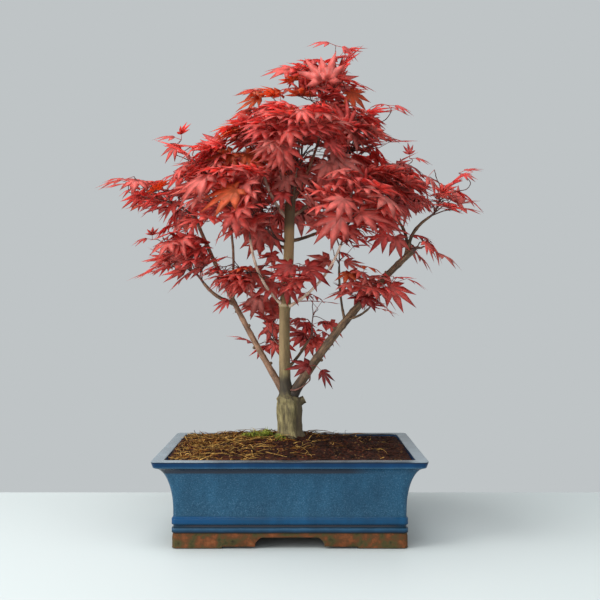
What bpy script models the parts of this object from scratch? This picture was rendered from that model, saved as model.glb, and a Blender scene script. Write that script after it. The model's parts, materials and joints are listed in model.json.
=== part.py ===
"""A Japanese maple bonsai in a glazed rectangular pot.

Metres, +Z up, X to the right and the front of the pot towards -Y. The sizes below are taken
from the pot's foot, on the middle of the pot; the last step moves everything so that the
origin lies at the bottom centre of the whole plant's box. The pot, the soil, the trunk, each
limb and each mass of foliage is an object of its own.
"""

import math
import random
from collections import namedtuple

import bmesh
import bpy
from mathutils import Matrix, Vector
from mathutils.bvhtree import BVHTree

# Clearance between two solids that meet
GAP = 0.0003
# Corners closer than this are one
WELD = 0.00001

# Pot: the outline of its rim, and what the profile steps in from that outline
POT_LENGTH = 0.260
POT_WIDTH = 0.195
POT_HEIGHT = 0.085
RIM_WIDTH = 0.0115
LIP_HEIGHT = 0.0058
EDGE_ROUND = 0.0009
WALL_INSET = 0.0185
FLARE_FOOT = 0.036
PLINTH_TOP = 0.0295
PLINTH_PROUD = 0.0012
GROOVE_TOP = 0.0245
GROOVE_FOOT = 0.0215
GLAZE_FOOT = 0.0152
WALL_THICKNESS = 0.0075
FLOOR_TOP = 0.019
RIM_CORNER = 0.0045
WALL_CORNER = 0.0060
CORNER_STEPS = 3
FLARE_STEPS = 6

# Pot feet: the ring under the glaze, hollowed and opened on its four sides
FOOT_RING = 0.013
FOOT_HOLLOW = 0.0105
OPENING_FRONT = 0.066
OPENING_SIDE = 0.046
OPENING_HEIGHT = 0.0095
OPENING_SLOPE = 0.006
STEP_REACH = 0.032
STEP_HEIGHT = 0.0020
DRAIN_RADIUS = 0.0065
DRAIN_PLACE = 0.058

# Soil: level near the rim and heaped round the trunk
SOIL_EDGE_DROP = 0.0042
SOIL_HEAP = 0.0142
SOIL_ROUGHNESS = 0.0011
SOIL_RINGS = 4
SOIL_SIDE_STEPS = (5, 3)
SOIL_EDGE_INSET = 0.0022
FOOT_SPOT = 0.0185

# Trunk: places up the middle of it, from the flat cut at the soil to the flat cut at the top
TRUNK_SIDES = 12
FLUTES = 5
TrunkRing = namedtuple("TrunkRing", "height x radius fluting")
SOIL_LEVEL = POT_HEIGHT - SOIL_EDGE_DROP + SOIL_HEAP
TRUNK = (
    TrunkRing(SOIL_LEVEL + GAP, -0.0010, 0.0158, 0.14),
    TrunkRing(0.1010, -0.0010, 0.0124, 0.10),
    TrunkRing(0.1130, -0.0014, 0.0122, 0.06),
    TrunkRing(0.1250, -0.0020, 0.0130, 0.06),
    TrunkRing(0.1335, -0.0024, 0.0122, 0.05),
    TrunkRing(0.1390, -0.0044, 0.0078, 0.03),
    TrunkRing(0.1530, -0.0060, 0.0059, 0.0),
    TrunkRing(0.1940, -0.0065, 0.0056, 0.0),
    TrunkRing(0.2230, -0.0063, 0.0055, 0.0),
    TrunkRing(0.2300, -0.0059, 0.0064, 0.0),
    TrunkRing(0.2370, -0.0054, 0.0055, 0.0),
    TrunkRing(0.2770, -0.0022, 0.0053, 0.0),
    TrunkRing(0.3150, -0.0013, 0.0052, 0.0),
    TrunkRing(0.3280, -0.0009, 0.0056, 0.0),
    TrunkRing(0.3418, -0.0003, 0.0050, 0.0),
)
STUB_HEIGHT = 0.1245
STUB_REACH = 0.0185
STUB_RADIUS = 0.0034
STUB_LEAN = math.radians(62)

# Limbs: each leaves its parent at a height on the trunk, or at a share of a limb's length,
# runs to its tip and bows sideways on the way; radii at its root and its tip
LIMB_SIDES_LEVEL = 1
LIMB_STEPS = 5
Limb = namedtuple("Limb", "name parent leaves_at tip bow root_radius tip_radius")
LIMBS = (
    Limb("left_bough", "trunk", 0.1330, (-0.096, 0.008, 0.313), (-0.004, 0, -0.001), 0.0036, 0.0017),
    Limb("right_bough", "trunk", 0.1310, (0.124, -0.008, 0.285), (-0.005, 0, 0.005), 0.0049, 0.0031),
    Limb("left_low_branch", "left_bough", 0.555,
         (-0.090, 0.002, 0.253), (-0.002, 0, -0.003), 0.0022, 0.0015),
    Limb("left_inner_branch", "left_bough", 0.60, (-0.064, -0.004, 0.322), (0.004, 0, 0), 0.0014, 0.0011),
    Limb("left_front_branch", "left_bough", 0.575,
         (-0.044, -0.016, 0.262), (-0.003, 0, 0.002), 0.0013, 0.0011),
    Limb("right_shoulder_branch", "right_bough", 0.955,
         (0.107, 0.002, 0.322), (0.006, 0, 0.002), 0.0018, 0.0013),
    Limb("right_wing_branch", "right_bough", 0.975,
         (0.143, 0.002, 0.321), (-0.006, 0, 0.002), 0.0020, 0.0014),
    Limb("low_right_branch", "right_bough", 0.52,
         (0.078, -0.022, 0.226), (0, -0.002, -0.002), 0.0013, 0.0011),
    Limb("right_inner_branch", "right_bough", 0.50,
         (0.050, -0.004, 0.270), (-0.002, 0, 0.002), 0.0013, 0.0010),
    Limb("mid_left_branch", "trunk", 0.2290,
         (-0.040, -0.034, 0.296), (-0.006, -0.002, -0.006), 0.0017, 0.0012),
    Limb("mid_right_branch", "trunk", 0.2265,
         (0.050, -0.036, 0.290), (0.006, -0.002, -0.006), 0.0016, 0.0011),
    Limb("low_back_branch", "trunk", 0.1620, (0.018, 0.022, 0.192), (0.001, 0, -0.001), 0.0018, 0.0013),
    Limb("top_left_branch", "trunk", 0.3170, (-0.030, -0.003, 0.374), (-0.004, 0, -0.003), 0.0018, 0.0013),
    Limb("top_leader", "trunk", 0.3330, (0.032, 0.000, 0.412), (0.002, 0, -0.004), 0.0018, 0.0012),
    Limb("top_right_branch", "trunk", 0.3200, (0.052, 0.004, 0.374), (0.003, 0, -0.004), 0.0017, 0.0012),
    Limb("top_front_branch", "trunk", 0.3260, (0.006, -0.036, 0.360), (0, -0.003, -0.003), 0.0015, 0.0011),
    Limb("top_back_branch", "trunk", 0.3260, (0.010, 0.040, 0.384), (0, 0.003, -0.003), 0.0016, 0.0011),
    Limb("back_left_branch", "trunk", 0.2880,
         (-0.050, 0.048, 0.324), (-0.003, 0.003, -0.004), 0.0018, 0.0013),
    Limb("back_right_branch", "trunk", 0.2960,
         (0.056, 0.048, 0.328), (0.003, 0.003, -0.004), 0.0018, 0.0013),
    Limb("back_branch", "trunk", 0.2700, (-0.004, 0.056, 0.318), (0, 0.004, -0.004), 0.0016, 0.0012),
)

# Masses of foliage: each hangs on the tip of a limb, or on the trunk at a height, and keeps
# to a rounded space of its own, given by its middle and its half sizes
Mass = namedtuple("Mass", "name carrier height heart reach shoots leaves")
MASSES = (
    Mass("crown_tip", "top_leader", None, (0.036, 0.000, 0.460), (0.054, 0.049, 0.052), 6, 14),
    Mass("upper_left", "top_left_branch", None, (-0.032, -0.006, 0.414), (0.054, 0.049, 0.043), 5, 12),
    Mass("upper_front", "top_front_branch", None, (0.008, -0.066, 0.392), (0.056, 0.052, 0.043), 5, 12),
    Mass("upper_right", "top_right_branch", None, (0.080, 0.000, 0.404), (0.054, 0.052, 0.044), 5, 12),
    Mass("upper_back", "top_back_branch", None, (0.014, 0.070, 0.420), (0.063, 0.054, 0.049), 5, 13),
    Mass("crown_heart", "trunk", 0.3380, (0.000, -0.012, 0.380), (0.050, 0.048, 0.044), 3, 7),
    Mass("left_shoulder", "left_inner_branch", None, (-0.092, -0.004, 0.372), (0.060, 0.054, 0.043), 5, 12),
    Mass("left_wing", "left_bough", None, (-0.155, 0.006, 0.342), (0.054, 0.060, 0.044), 6, 13),
    Mass("left_low", "left_low_branch", None, (-0.120, -0.006, 0.280), (0.060, 0.054, 0.036), 5, 12),
    Mass("left_front", "mid_left_branch", None, (-0.060, -0.078, 0.326), (0.054, 0.052, 0.043), 5, 12),
    Mass("left_back", "back_left_branch", None, (-0.088, 0.084, 0.350), (0.067, 0.056, 0.052), 5, 12),
    Mass("left_heart", "trunk", 0.2960, (-0.034, -0.018, 0.330), (0.048, 0.046, 0.040), 4, 8),
    Mass("right_shoulder", "right_shoulder_branch", None,
         (0.108, -0.002, 0.356), (0.054, 0.052, 0.038), 5, 11),
    Mass("right_wing", "right_wing_branch", None, (0.155, 0.000, 0.344), (0.050, 0.056, 0.044), 5, 10),
    Mass("right_end", "right_bough", None, (0.142, -0.010, 0.290), (0.045, 0.045, 0.034), 4, 8),
    Mass("right_front", "mid_right_branch", None, (0.056, -0.078, 0.318), (0.056, 0.052, 0.040), 5, 12),
    Mass("right_back", "back_right_branch", None, (0.096, 0.082, 0.354), (0.067, 0.056, 0.052), 5, 12),
    Mass("back_heart", "back_branch", None, (0.000, 0.098, 0.352), (0.052, 0.047, 0.047), 4, 9),
    Mass("low_left", "left_front_branch", None, (-0.044, -0.036, 0.262), (0.047, 0.040, 0.029), 3, 6),
    Mass("low_middle", "trunk", 0.2440, (0.012, -0.036, 0.262), (0.043, 0.040, 0.031), 3, 6),
    Mass("low_right", "low_right_branch", None, (0.086, -0.036, 0.240), (0.052, 0.045, 0.029), 4, 8),
    Mass("low_back_left", "trunk", 0.1900, (-0.030, 0.036, 0.206), (0.040, 0.041, 0.037), 3, 4),
    Mass("low_back_right", "low_back_branch", None, (0.022, 0.046, 0.212), (0.041, 0.042, 0.037), 3, 5),
    Mass("fork_leaves", "trunk", 0.1430, (0.022, -0.026, 0.158), (0.034, 0.031, 0.022), 2, 3),
    Mass("right_pair", "right_inner_branch", None, (0.050, -0.010, 0.292), (0.040, 0.034, 0.029), 3, 4),
)

# Twigs: a stem runs from the limb to the middle of a mass's space, and shoots fork from it.
# Shoots end at these shares of the way to the edge of the space
SEED = 31
LIMB_STEM_RADIUS = 0.00145
TRUNK_STEM_RADIUS = 0.00125
SHOOT_RADIUS = 0.00112
TWIG_TIP_RADIUS = 0.00090
TWIG_SUNK_RADIUS = 0.00045
STEM_SEAT = 0.0015
STEM_BEND = 0.42
STEM_STEPS = 3
SHOOT_ENDS = (0.45, 0.60)
LEADER_END = 0.72
SHOOT_BEND = 0.30
SHOOT_RISE = 0.08
SHOOT_RINGS = (0.12, 0.5, 1.0)
FORK_ANGLE = math.radians(42)
CROWN_MIDDLE = (0.0, 0.0, 0.330)
SPREAD_TRIES = 30

# Leaves: five lobes, told as the angle from the middle lobe and the share of its length, with
# the notches between them. A stalk leaves its twig ahead, sideways and up; the blade runs on
# from it, outwards and hanging, and faces up and outwards
LOBES = ((0, 1.0), (22, 0.34), (43, 0.92), (66, 0.29), (88, 0.66), (172, 0.11))
LEAF_LENGTH = (0.032, 0.045)
LEAF_THICKNESS = 0.0009
LEAF_DROOP = 0.22
STALK_RADIUS = 0.00045
STALK_SUNK_RADIUS = 0.00025
STALK_LENGTH = (0.007, 0.026)
STALK_AHEAD = 0.7
STALK_SIDEWAYS = 0.9
STALK_UP = 0.2
BLADE_ON = 0.9
BLADE_OUT = 0.45
BLADE_HANG = (0.1, 1.0)
FACE_OUT = (0.4, 1.4)
FACE_TURN = 0.25
SHARPEST_KNEE = 0.35
NODE_PLACES = 12
FIRST_NODE = 4
LEAF_TRIES = 300
LEAF_BEST = 40
BLADE_MIDDLE = 0.42
EDGE_LEAN = 0.012
FULL_LEAF_REACH = 0.036

GLAZE = (0.045, 0.125, 0.290)
SOIL_BROWN = (0.085, 0.038, 0.018)
BARK_OLIVE = (0.150, 0.125, 0.075)
BARK_TAN = (0.300, 0.190, 0.135)
BARK_BROWN = (0.130, 0.085, 0.062)
BARK_PALE = (0.480, 0.380, 0.270)
LEAF_RED = (0.420, 0.026, 0.030)
LIMB_COLOURS = {"left_bough": BARK_TAN, "right_bough": BARK_BROWN, "mid_left_branch": BARK_PALE,
                "mid_right_branch": BARK_PALE}


def clear_scene():
    for obj in list(bpy.data.objects):
        bpy.data.objects.remove(obj, do_unlink=True)


def material(name, colour, roughness):
    made = bpy.data.materials.new(name)
    made.use_nodes = True
    shader = made.node_tree.nodes["Principled BSDF"]
    shader.inputs["Base Color"].default_value = (*colour, 1.0)
    shader.inputs["Roughness"].default_value = roughness
    shader.inputs["Metallic"].default_value = 0.0
    return made


def add_object(name, mesh, collection, finish=None):
    obj = bpy.data.objects.new(name, mesh)
    collection.objects.link(obj)
    if finish:
        mesh.materials.clear()
        mesh.materials.append(finish)
    return obj


def applied(obj):
    """The object with its modifiers made part of its mesh."""
    depsgraph = bpy.context.evaluated_depsgraph_get()
    mesh = bpy.data.meshes.new_from_object(obj.evaluated_get(depsgraph))
    old = obj.data
    obj.modifiers.clear()
    obj.data = mesh
    bpy.data.meshes.remove(old)
    return obj


def remove(obj):
    data = obj.data
    bpy.data.objects.remove(obj, do_unlink=True)
    if isinstance(data, bpy.types.Mesh):
        bpy.data.meshes.remove(data)
    else:
        bpy.data.curves.remove(data)


def boolean(obj, operation, cutter=None, collection=None, solver="EXACT"):
    """Joins or cuts an object with another, or with all that a collection holds."""
    modifier = obj.modifiers.new(operation.lower(), "BOOLEAN")
    modifier.operation = operation
    modifier.solver = solver
    if collection:
        modifier.operand_type = "COLLECTION"
        modifier.collection = collection
    else:
        modifier.object = cutter
    applied(obj)


def extruded_rings(rings):
    """A closed skin through rings of equal point count, by one extrusion after another."""
    mesh = bmesh.new()
    face = mesh.faces.new([mesh.verts.new(point) for point in rings[0]])
    for number, ring in enumerate(rings[1:]):
        grown = bmesh.ops.extrude_face_region(mesh, geom=[face])["geom"]
        if number > 0:
            bmesh.ops.delete(mesh, geom=[face], context="FACES_ONLY")
        face = next(part for part in grown if isinstance(part, bmesh.types.BMFace))
        for vert, point in zip(face.verts, ring):
            vert.co = point
    bmesh.ops.recalc_face_normals(mesh, faces=mesh.faces[:])
    bmesh.ops.triangulate(mesh, faces=mesh.faces[:])
    return mesh


def mesh_of(name, shape):
    """Turns a bmesh into mesh data and frees it."""
    mesh = bpy.data.meshes.new(name)
    shape.to_mesh(mesh)
    shape.free()
    return mesh


def round_off(mesh, angle=35):
    mesh.shade_smooth()
    mesh.set_sharp_from_angle(angle=math.radians(angle))


# Pot and soil

def rounded_rectangle(inset, radius, height, side_steps=(0, 0)):
    """Points round the pot's outline, drawn in by an inset, at one height; side_steps adds
    points along the sides that follow each corner."""
    middle_x = POT_LENGTH / 2 - inset - radius
    middle_y = POT_WIDTH / 2 - inset - radius
    points = []
    for side_x, side_y, turn in ((1, 1, 0), (-1, 1, 90), (-1, -1, 180), (1, -1, 270)):
        for step in range(CORNER_STEPS + 1):
            angle = math.radians(turn + 90 * step / CORNER_STEPS)
            points.append(Vector((side_x * middle_x + radius * math.cos(angle),
                                  side_y * middle_y + radius * math.sin(angle), height)))
        if side_x == side_y:
            side, steps = Vector((-2 * middle_x * side_x, 0, 0)), side_steps[0]
        else:
            side, steps = Vector((0, -2 * middle_y * side_y, 0)), side_steps[1]
        corner = points[-1]
        points += [corner + side * (step + 1) / (steps + 1) for step in range(steps)]
    return points


def pot_profile():
    """The pot's wall from the foot up the outside, over the rim and down the inside, as
    (inset, height); the flare under the lip is a quarter of an ellipse."""
    flare_top = POT_HEIGHT - LIP_HEIGHT
    proud = WALL_INSET - PLINTH_PROUD
    profile = [
        (WALL_INSET + 0.0010, 0.0),
        (WALL_INSET - 0.0008, 0.0018),
        (WALL_INSET - 0.0008, GLAZE_FOOT - 0.0040),
        (WALL_INSET, GLAZE_FOOT),
        (proud, GLAZE_FOOT + 0.0012),
        (proud, GROOVE_FOOT),
        (WALL_INSET, GROOVE_FOOT + 0.0008),
        (WALL_INSET, GROOVE_TOP - 0.0008),
        (proud, GROOVE_TOP),
        (proud, PLINTH_TOP - 0.0012),
        (WALL_INSET, PLINTH_TOP),
    ]
    for step in range(FLARE_STEPS):
        angle = math.radians(90 * step / FLARE_STEPS)
        inset = WALL_INSET * math.cos(angle)
        profile.append((inset, flare_top - (flare_top - FLARE_FOOT) * (1 - math.sin(angle))))
    inner = RIM_WIDTH + WALL_INSET - WALL_THICKNESS / 2
    return profile + [
        (0.0, flare_top),
        (0.0, POT_HEIGHT - EDGE_ROUND),
        (EDGE_ROUND, POT_HEIGHT),
        (RIM_WIDTH - EDGE_ROUND, POT_HEIGHT),
        (RIM_WIDTH, POT_HEIGHT - EDGE_ROUND),
        (RIM_WIDTH + 0.004, POT_HEIGHT - 0.010),
        (inner, FLARE_FOOT + 0.010),
        (inner, FLOOR_TOP),
    ]


def corner_radius(inset):
    """The corners open out a little from the rim to the wall."""
    share = min(inset / WALL_INSET, 1.0)
    return RIM_CORNER + (WALL_CORNER - RIM_CORNER) * share


def opening_outline(width, step_width):
    """Half of the cloud-shaped gap between two feet, mirrored: a low step, then the arch."""
    below = -0.002
    right = [
        (width / 2 + step_width, below),
        (width / 2 + step_width - 0.001, STEP_HEIGHT),
        (width / 2 + 0.001, STEP_HEIGHT),
        (width / 2 - OPENING_SLOPE * 0.45, OPENING_HEIGHT * 0.72),
        (width / 2 - OPENING_SLOPE, OPENING_HEIGHT),
    ]
    left = [(-across, height) for across, height in reversed(right)]
    return right + left


def foot_opening(width, step_width, length, turn, collection):
    """A bar with the gap's outline, lying through both sides of the foot ring."""
    outline = opening_outline(width, step_width)
    ends = [[Vector((across, end, height)) for across, height in outline]
            for end in (-length / 2, length / 2)]
    bar = extruded_rings(ends)
    bmesh.ops.rotate(bar, verts=bar.verts[:], matrix=Matrix.Rotation(turn, 3, "Z"))
    return add_object("foot_opening", mesh_of("foot_opening", bar), collection)


def make_pot(plant, cutters):
    rings = [rounded_rectangle(inset, corner_radius(inset), height) for inset, height in pot_profile()]
    pot = add_object("pot", mesh_of("pot", extruded_rings(rings)), plant,
                     material("glazed_stoneware", GLAZE, 0.22))
    hollow_inset = WALL_INSET + FOOT_RING
    hollow = add_object("foot_hollow", mesh_of("foot_hollow", extruded_rings([
        rounded_rectangle(hollow_inset, WALL_CORNER, height) for height in (-0.002, FOOT_HOLLOW)
    ])), cutters)
    boolean(pot, "DIFFERENCE", hollow)
    remove(hollow)
    for width, step_width, length, turn in ((OPENING_FRONT, STEP_REACH, POT_WIDTH, 0.0),
                                            (OPENING_SIDE, STEP_REACH / 2, POT_LENGTH, math.pi / 2)):
        bar = foot_opening(width, step_width, length, turn, cutters)
        boolean(pot, "DIFFERENCE", bar)
        remove(bar)
    for side in (-1, 1):
        drill = bmesh.new()
        bmesh.ops.create_cone(drill, cap_ends=True, segments=16, radius1=DRAIN_RADIUS,
                              radius2=DRAIN_RADIUS, depth=0.05,
                              matrix=Matrix.Translation((side * DRAIN_PLACE, 0, FLOOR_TOP)))
        hole = add_object("drain_hole", mesh_of("drain_hole", drill), cutters)
        boolean(pot, "DIFFERENCE", hole)
        remove(hole)
    round_off(pot.data)
    return pot


def soil_height(place, chance):
    """Height of the soil: heaped towards the trunk, with small lumps."""
    away = Vector((place.x / (POT_LENGTH / 2), place.y / (POT_WIDTH / 2))).length
    heap = SOIL_HEAP * max(0.0, 1 - away) ** 1.2
    return POT_HEIGHT - SOIL_EDGE_DROP + heap + chance.uniform(-1, 1) * SOIL_ROUGHNESS


def make_soil(plant):
    """The root ball fills the pot; its top runs in rings from the wall to the trunk's foot."""
    chance = random.Random(SEED)
    rings = []
    for inset, height in reversed(pot_profile()[-3:]):
        fit = inset + GAP
        level = max(height, FLOOR_TOP + GAP)
        rings.append(rounded_rectangle(fit, corner_radius(fit), level, SOIL_SIDE_STEPS))
    edge_inset = RIM_WIDTH + SOIL_EDGE_INSET
    edge = rounded_rectangle(edge_inset, corner_radius(edge_inset), POT_HEIGHT - SOIL_EDGE_DROP,
                             SOIL_SIDE_STEPS)
    rings.append(edge)
    foot = Vector((TRUNK[0].x, 0, 0))
    flat = Vector((1, 1, 0))
    for step in range(1, SOIL_RINGS + 1):
        share = step / (SOIL_RINGS + 1)
        ring = []
        for point in edge:
            spot = foot + ((point - foot) * flat).normalized() * FOOT_SPOT
            place = (point * flat).lerp(spot, share)
            place.z = soil_height(place, chance)
            ring.append(place)
        rings.append(ring)
    level = Vector((0, 0, SOIL_LEVEL))
    rings.append([foot + level + ((point - foot) * flat).normalized() * FOOT_SPOT for point in edge])
    return add_object("soil", mesh_of("soil", extruded_rings(rings)), plant,
                      material("potting_soil", SOIL_BROWN, 0.95))


# Trunk and limbs

def trunk_middle(height):
    """Where the trunk's middle lies at a height, and its radius there."""
    for low, high in zip(TRUNK, TRUNK[1:]):
        if height <= high.height:
            share = max(0.0, (height - low.height) / (high.height - low.height))
            return (Vector((low.x + (high.x - low.x) * share, 0, height)),
                    low.radius + (high.radius - low.radius) * share)
    return Vector((TRUNK[-1].x, 0, TRUNK[-1].height)), TRUNK[-1].radius


def trunk_mesh(grow=0.0):
    """Level rings up the trunk, fluted where the old stems have grown together."""
    rings = []
    for number, place in enumerate(TRUNK):
        height = place.height
        if number in (0, len(TRUNK) - 1):
            height += grow if number else -grow
        ring = []
        for side in range(TRUNK_SIDES):
            angle = 2 * math.pi * side / TRUNK_SIDES
            radius = place.radius * (1 + place.fluting * math.cos(FLUTES * angle + 0.6)) + grow
            ring.append(Vector((place.x + radius * math.cos(angle), radius * math.sin(angle), height)))
        rings.append(ring)
    return mesh_of("trunk", extruded_rings(rings))


def stub_mesh(grow=0.0):
    """The pruned stub of an old bough that leans out of the stump's right side."""
    middle, _ = trunk_middle(STUB_HEIGHT)
    shape = bmesh.new()
    bmesh.ops.create_cone(shape, cap_ends=True, segments=8, radius1=STUB_RADIUS * 1.5 + grow,
                          radius2=STUB_RADIUS + grow, depth=STUB_REACH + grow)
    lean = Matrix.Rotation(STUB_LEAN, 4, "Y")
    place = Matrix.Translation(middle) @ lean @ Matrix.Translation((0, 0, STUB_REACH / 2))
    bmesh.ops.transform(shape, verts=shape.verts[:], matrix=place)
    return mesh_of("pruned_stub", shape)


def make_trunk(plant):
    trunk = add_object("trunk", trunk_mesh(), plant, material("old_bark", BARK_OLIVE, 0.85))
    stub = add_object("pruned_stub", stub_mesh(), plant)
    boolean(trunk, "UNION", stub)
    remove(stub)
    round_off(trunk.data)
    return trunk


def bent_line(start, middle, end, share):
    """A point of the quadratic curve through three steering points."""
    return start.lerp(middle, share).lerp(middle.lerp(end, share), share)


def limb_line(limb, lines):
    """The limb's middle line: points from inside its parent to its tip."""
    if limb.parent == "trunk":
        start, _ = trunk_middle(limb.leaves_at)
    else:
        parent = lines[limb.parent]
        place = limb.leaves_at * (len(parent) - 1)
        number = min(int(place), len(parent) - 2)
        start = parent[number].lerp(parent[number + 1], place - number)
    tip = Vector(limb.tip)
    middle = (start + tip) / 2 + 2 * Vector(limb.bow)
    return [bent_line(start, middle, tip, step / LIMB_STEPS) for step in range(LIMB_STEPS + 1)]


def limb_mesh(limb, line, grow, collection):
    """A tapering tube along the limb's line, from a curve with a bevel."""
    curve = bpy.data.curves.new(limb.name, "CURVE")
    curve.dimensions = "3D"
    curve.bevel_depth = 1.0
    curve.bevel_resolution = LIMB_SIDES_LEVEL
    curve.use_fill_caps = True
    spline = curve.splines.new("POLY")
    spline.points.add(len(line) - 1)
    for number, (point, place) in enumerate(zip(spline.points, line)):
        share = number / (len(line) - 1)
        point.co = (*place, 1.0)
        point.radius = limb.root_radius + (limb.tip_radius - limb.root_radius) * share + grow
    tube = bpy.data.objects.new(limb.name + "_line", curve)
    collection.objects.link(tube)
    depsgraph = bpy.context.evaluated_depsgraph_get()
    mesh = bpy.data.meshes.new_from_object(tube.evaluated_get(depsgraph))
    remove(tube)
    shape = bmesh.new()
    shape.from_mesh(mesh)
    bmesh.ops.remove_doubles(shape, verts=shape.verts[:], dist=WELD)
    bmesh.ops.recalc_face_normals(shape, faces=shape.faces[:])
    bmesh.ops.triangulate(shape, faces=shape.faces[:])
    shape.to_mesh(mesh)
    shape.free()
    return mesh


def bodies_of(shape):
    """The separate bodies of a bmesh, each a list of faces."""
    left = set(shape.faces)
    bodies = []
    while left:
        body = [left.pop()]
        for face in body:
            for edge in face.edges:
                for near in edge.link_faces:
                    if near in left:
                        left.remove(near)
                        body.append(near)
        bodies.append(body)
    return bodies


def signed_volume(faces):
    total = 0.0
    for face in faces:
        first = face.verts[0].co
        for one, two in zip(face.verts[1:-1], face.verts[2:]):
            total += first.dot(one.co.cross(two.co)) / 6
    return total


def keep_main_body(obj):
    """Fills sealed hollows and drops loose scraps: only the largest outer skin stays."""
    shape = bmesh.new()
    shape.from_mesh(obj.data)
    bodies = sorted(bodies_of(shape), key=signed_volume)
    scraps = [face for body in bodies[:-1] for face in body]
    bmesh.ops.delete(shape, geom=scraps, context="FACES")
    shape.to_mesh(obj.data)
    shape.free()


def make_limbs(plant, cutters):
    """Each limb starts inside its parent and is cut back to a clear saddle on it."""
    lines = {}
    for limb in LIMBS:
        lines[limb.name] = limb_line(limb, lines)
        colour = LIMB_COLOURS.get(limb.name, BARK_BROWN)
        obj = add_object(limb.name, limb_mesh(limb, lines[limb.name], 0.0, plant), plant,
                         material(limb.name + "_bark", colour, 0.8))
        if limb.parent == "trunk":
            wider = [trunk_mesh(GAP), stub_mesh(GAP)]
        else:
            wider = []
        for other in LIMBS[:LIMBS.index(limb)]:
            if limb.parent == other.name or (limb.parent == other.parent and other.parent != "trunk"):
                wider.append(limb_mesh(other, lines[other.name], GAP, plant))
        for mesh in wider:
            cutter = add_object("wider_parent", mesh, cutters)
            boolean(obj, "DIFFERENCE", cutter)
            remove(cutter)
        keep_main_body(obj)
        round_off(obj.data, 50)
    return lines


# Foliage

def along(line, share):
    """The point and the direction at a share of a line."""
    place = share * (len(line) - 1)
    number = min(int(place), len(line) - 2)
    ahead = (line[number + 1] - line[number]).normalized()
    return line[number].lerp(line[number + 1], place - number), ahead


def twig_shape(line, root_radius, tip_radius, sunk=False):
    """A three-sided twig along a line; a sunk root is thin enough to lie inside its stem."""
    rings = []
    for number, place in enumerate(line):
        _, ahead = along(line, number / (len(line) - 1))
        side = ahead.cross(Vector((0.13, 0.31, 0.94))).normalized()
        up = side.cross(ahead)
        share = number / (len(line) - 1)
        radius = root_radius + (tip_radius - root_radius) * share
        if sunk and number == 0:
            radius = TWIG_SUNK_RADIUS
        rings.append([place + radius * (side * math.cos(turn) + up * math.sin(turn))
                      for turn in (math.radians(corner) for corner in (90, 210, 330))])
    return extruded_rings(rings)


def leaf_outline(length):
    """Points round a leaf that lies flat at the origin and points along +X: lobes that hang a
    little, and the notches between them."""
    points = []
    for angle, reach in [(-angle, reach) for angle, reach in reversed(LOBES)] + list(LOBES[1:]):
        turn = math.radians(angle)
        hang = -LEAF_DROOP * reach * reach
        points.append(Vector((reach * math.cos(turn), reach * math.sin(turn), hang)) * length)
    return points


def leaf_blade(frame, length):
    """A flat ball whose rim is drawn out to the leaf's outline, thickest where the stalk meets
    it; its back edge is opened into a small triangle for the stalk."""
    shape = bmesh.new()
    outline = leaf_outline(length)
    bmesh.ops.create_uvsphere(shape, u_segments=len(outline), v_segments=2, radius=1.0)
    rim = sorted((vert for vert in shape.verts if abs(vert.co.z) < 0.5),
                 key=lambda vert: math.atan2(vert.co.y, vert.co.x))
    for vert in shape.verts:
        vert.co.z *= LEAF_THICKNESS / 2
    for vert, point in zip(rim, outline):
        vert.co = point
    left, right = rim[0], rim[-1]
    back = shape.edges.get((left, right))
    top = max(back.link_faces, key=lambda face: face.calc_center_median().z)
    _, below = bmesh.utils.edge_split(back, left, 0.5)
    bmesh.utils.face_split(top, left, right)
    below.co.z -= STALK_RADIUS * 1.6
    bmesh.ops.transform(shape, verts=shape.verts[:], matrix=frame)
    bmesh.ops.recalc_face_normals(shape, faces=shape.faces[:])
    socket = next(face for face in below.link_faces if left in face.verts and right in face.verts
                  and len(face.verts) == 3)
    return shape, socket


def draw_stalk(shape, socket, node):
    """Draws the blade's back triangle out to a stalk that ends inside the twig."""
    way = (node - socket.calc_center_median()).normalized()
    grown = bmesh.ops.extrude_face_region(shape, geom=[socket])["geom"]
    bmesh.ops.delete(shape, geom=[socket], context="FACES_ONLY")
    end = next(part for part in grown if isinstance(part, bmesh.types.BMFace))
    middle = end.calc_center_median()
    for vert in end.verts:
        spread = vert.co - middle
        spread -= way * spread.dot(way)
        vert.co = node + spread.normalized() * STALK_SUNK_RADIUS
    bmesh.ops.triangulate(shape, faces=shape.faces[:])


def share_of_space(mass, place):
    """0 in the middle of a mass's space, 1 at its edge."""
    away = place - Vector(mass.heart)
    return Vector(away[axis] / mass.reach[axis] for axis in range(3)).length


def nearest_mass(place):
    return min(MASSES, key=lambda mass: share_of_space(mass, place))


def leading_way(mass):
    """The way in which a mass reaches out of the crown."""
    away = Vector(mass.heart) - Vector(CROWN_MIDDLE)
    return away.normalized()


def spread_places(mass, count, inner, outer, chance):
    """Places in the mass's space, each the one of many tries that lies farthest from those
    before it; the first leads out of the crown, near the edge of the space."""
    places = [leading_way(mass) * LEADER_END]
    while len(places) < count:
        best = None
        for _ in range(SPREAD_TRIES):
            height = chance.uniform(-0.7, 1.0)
            turn = chance.uniform(0, 2 * math.pi)
            flat = math.sqrt(1 - height * height)
            way = Vector((flat * math.cos(turn), flat * math.sin(turn), height))
            way *= inner + (outer - inner) * chance.random() ** 0.5
            room = min((way - other).length for other in places)
            if best is None or room > best[0]:
                best = (room, way)
        places.append(best[1])
    return [Vector(heart + share * reach for heart, share, reach in zip(mass.heart, way, mass.reach))
            for way in places]


def fork_place(stem, end, chance):
    """The place on the stem from which a shoot reaches its end at the usual fork angle."""
    best = None
    for step in range(2, 10):
        place, ahead = along(stem, (step + chance.uniform(-0.3, 0.3)) / 10)
        way = end - place
        if way.length < 0.004:
            continue
        miss = abs(way.angle(ahead) - FORK_ANGLE) + 6 * way.length
        if best is None or miss < best[0]:
            best = (miss, place, ahead)
    return best[1], best[2]


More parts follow.
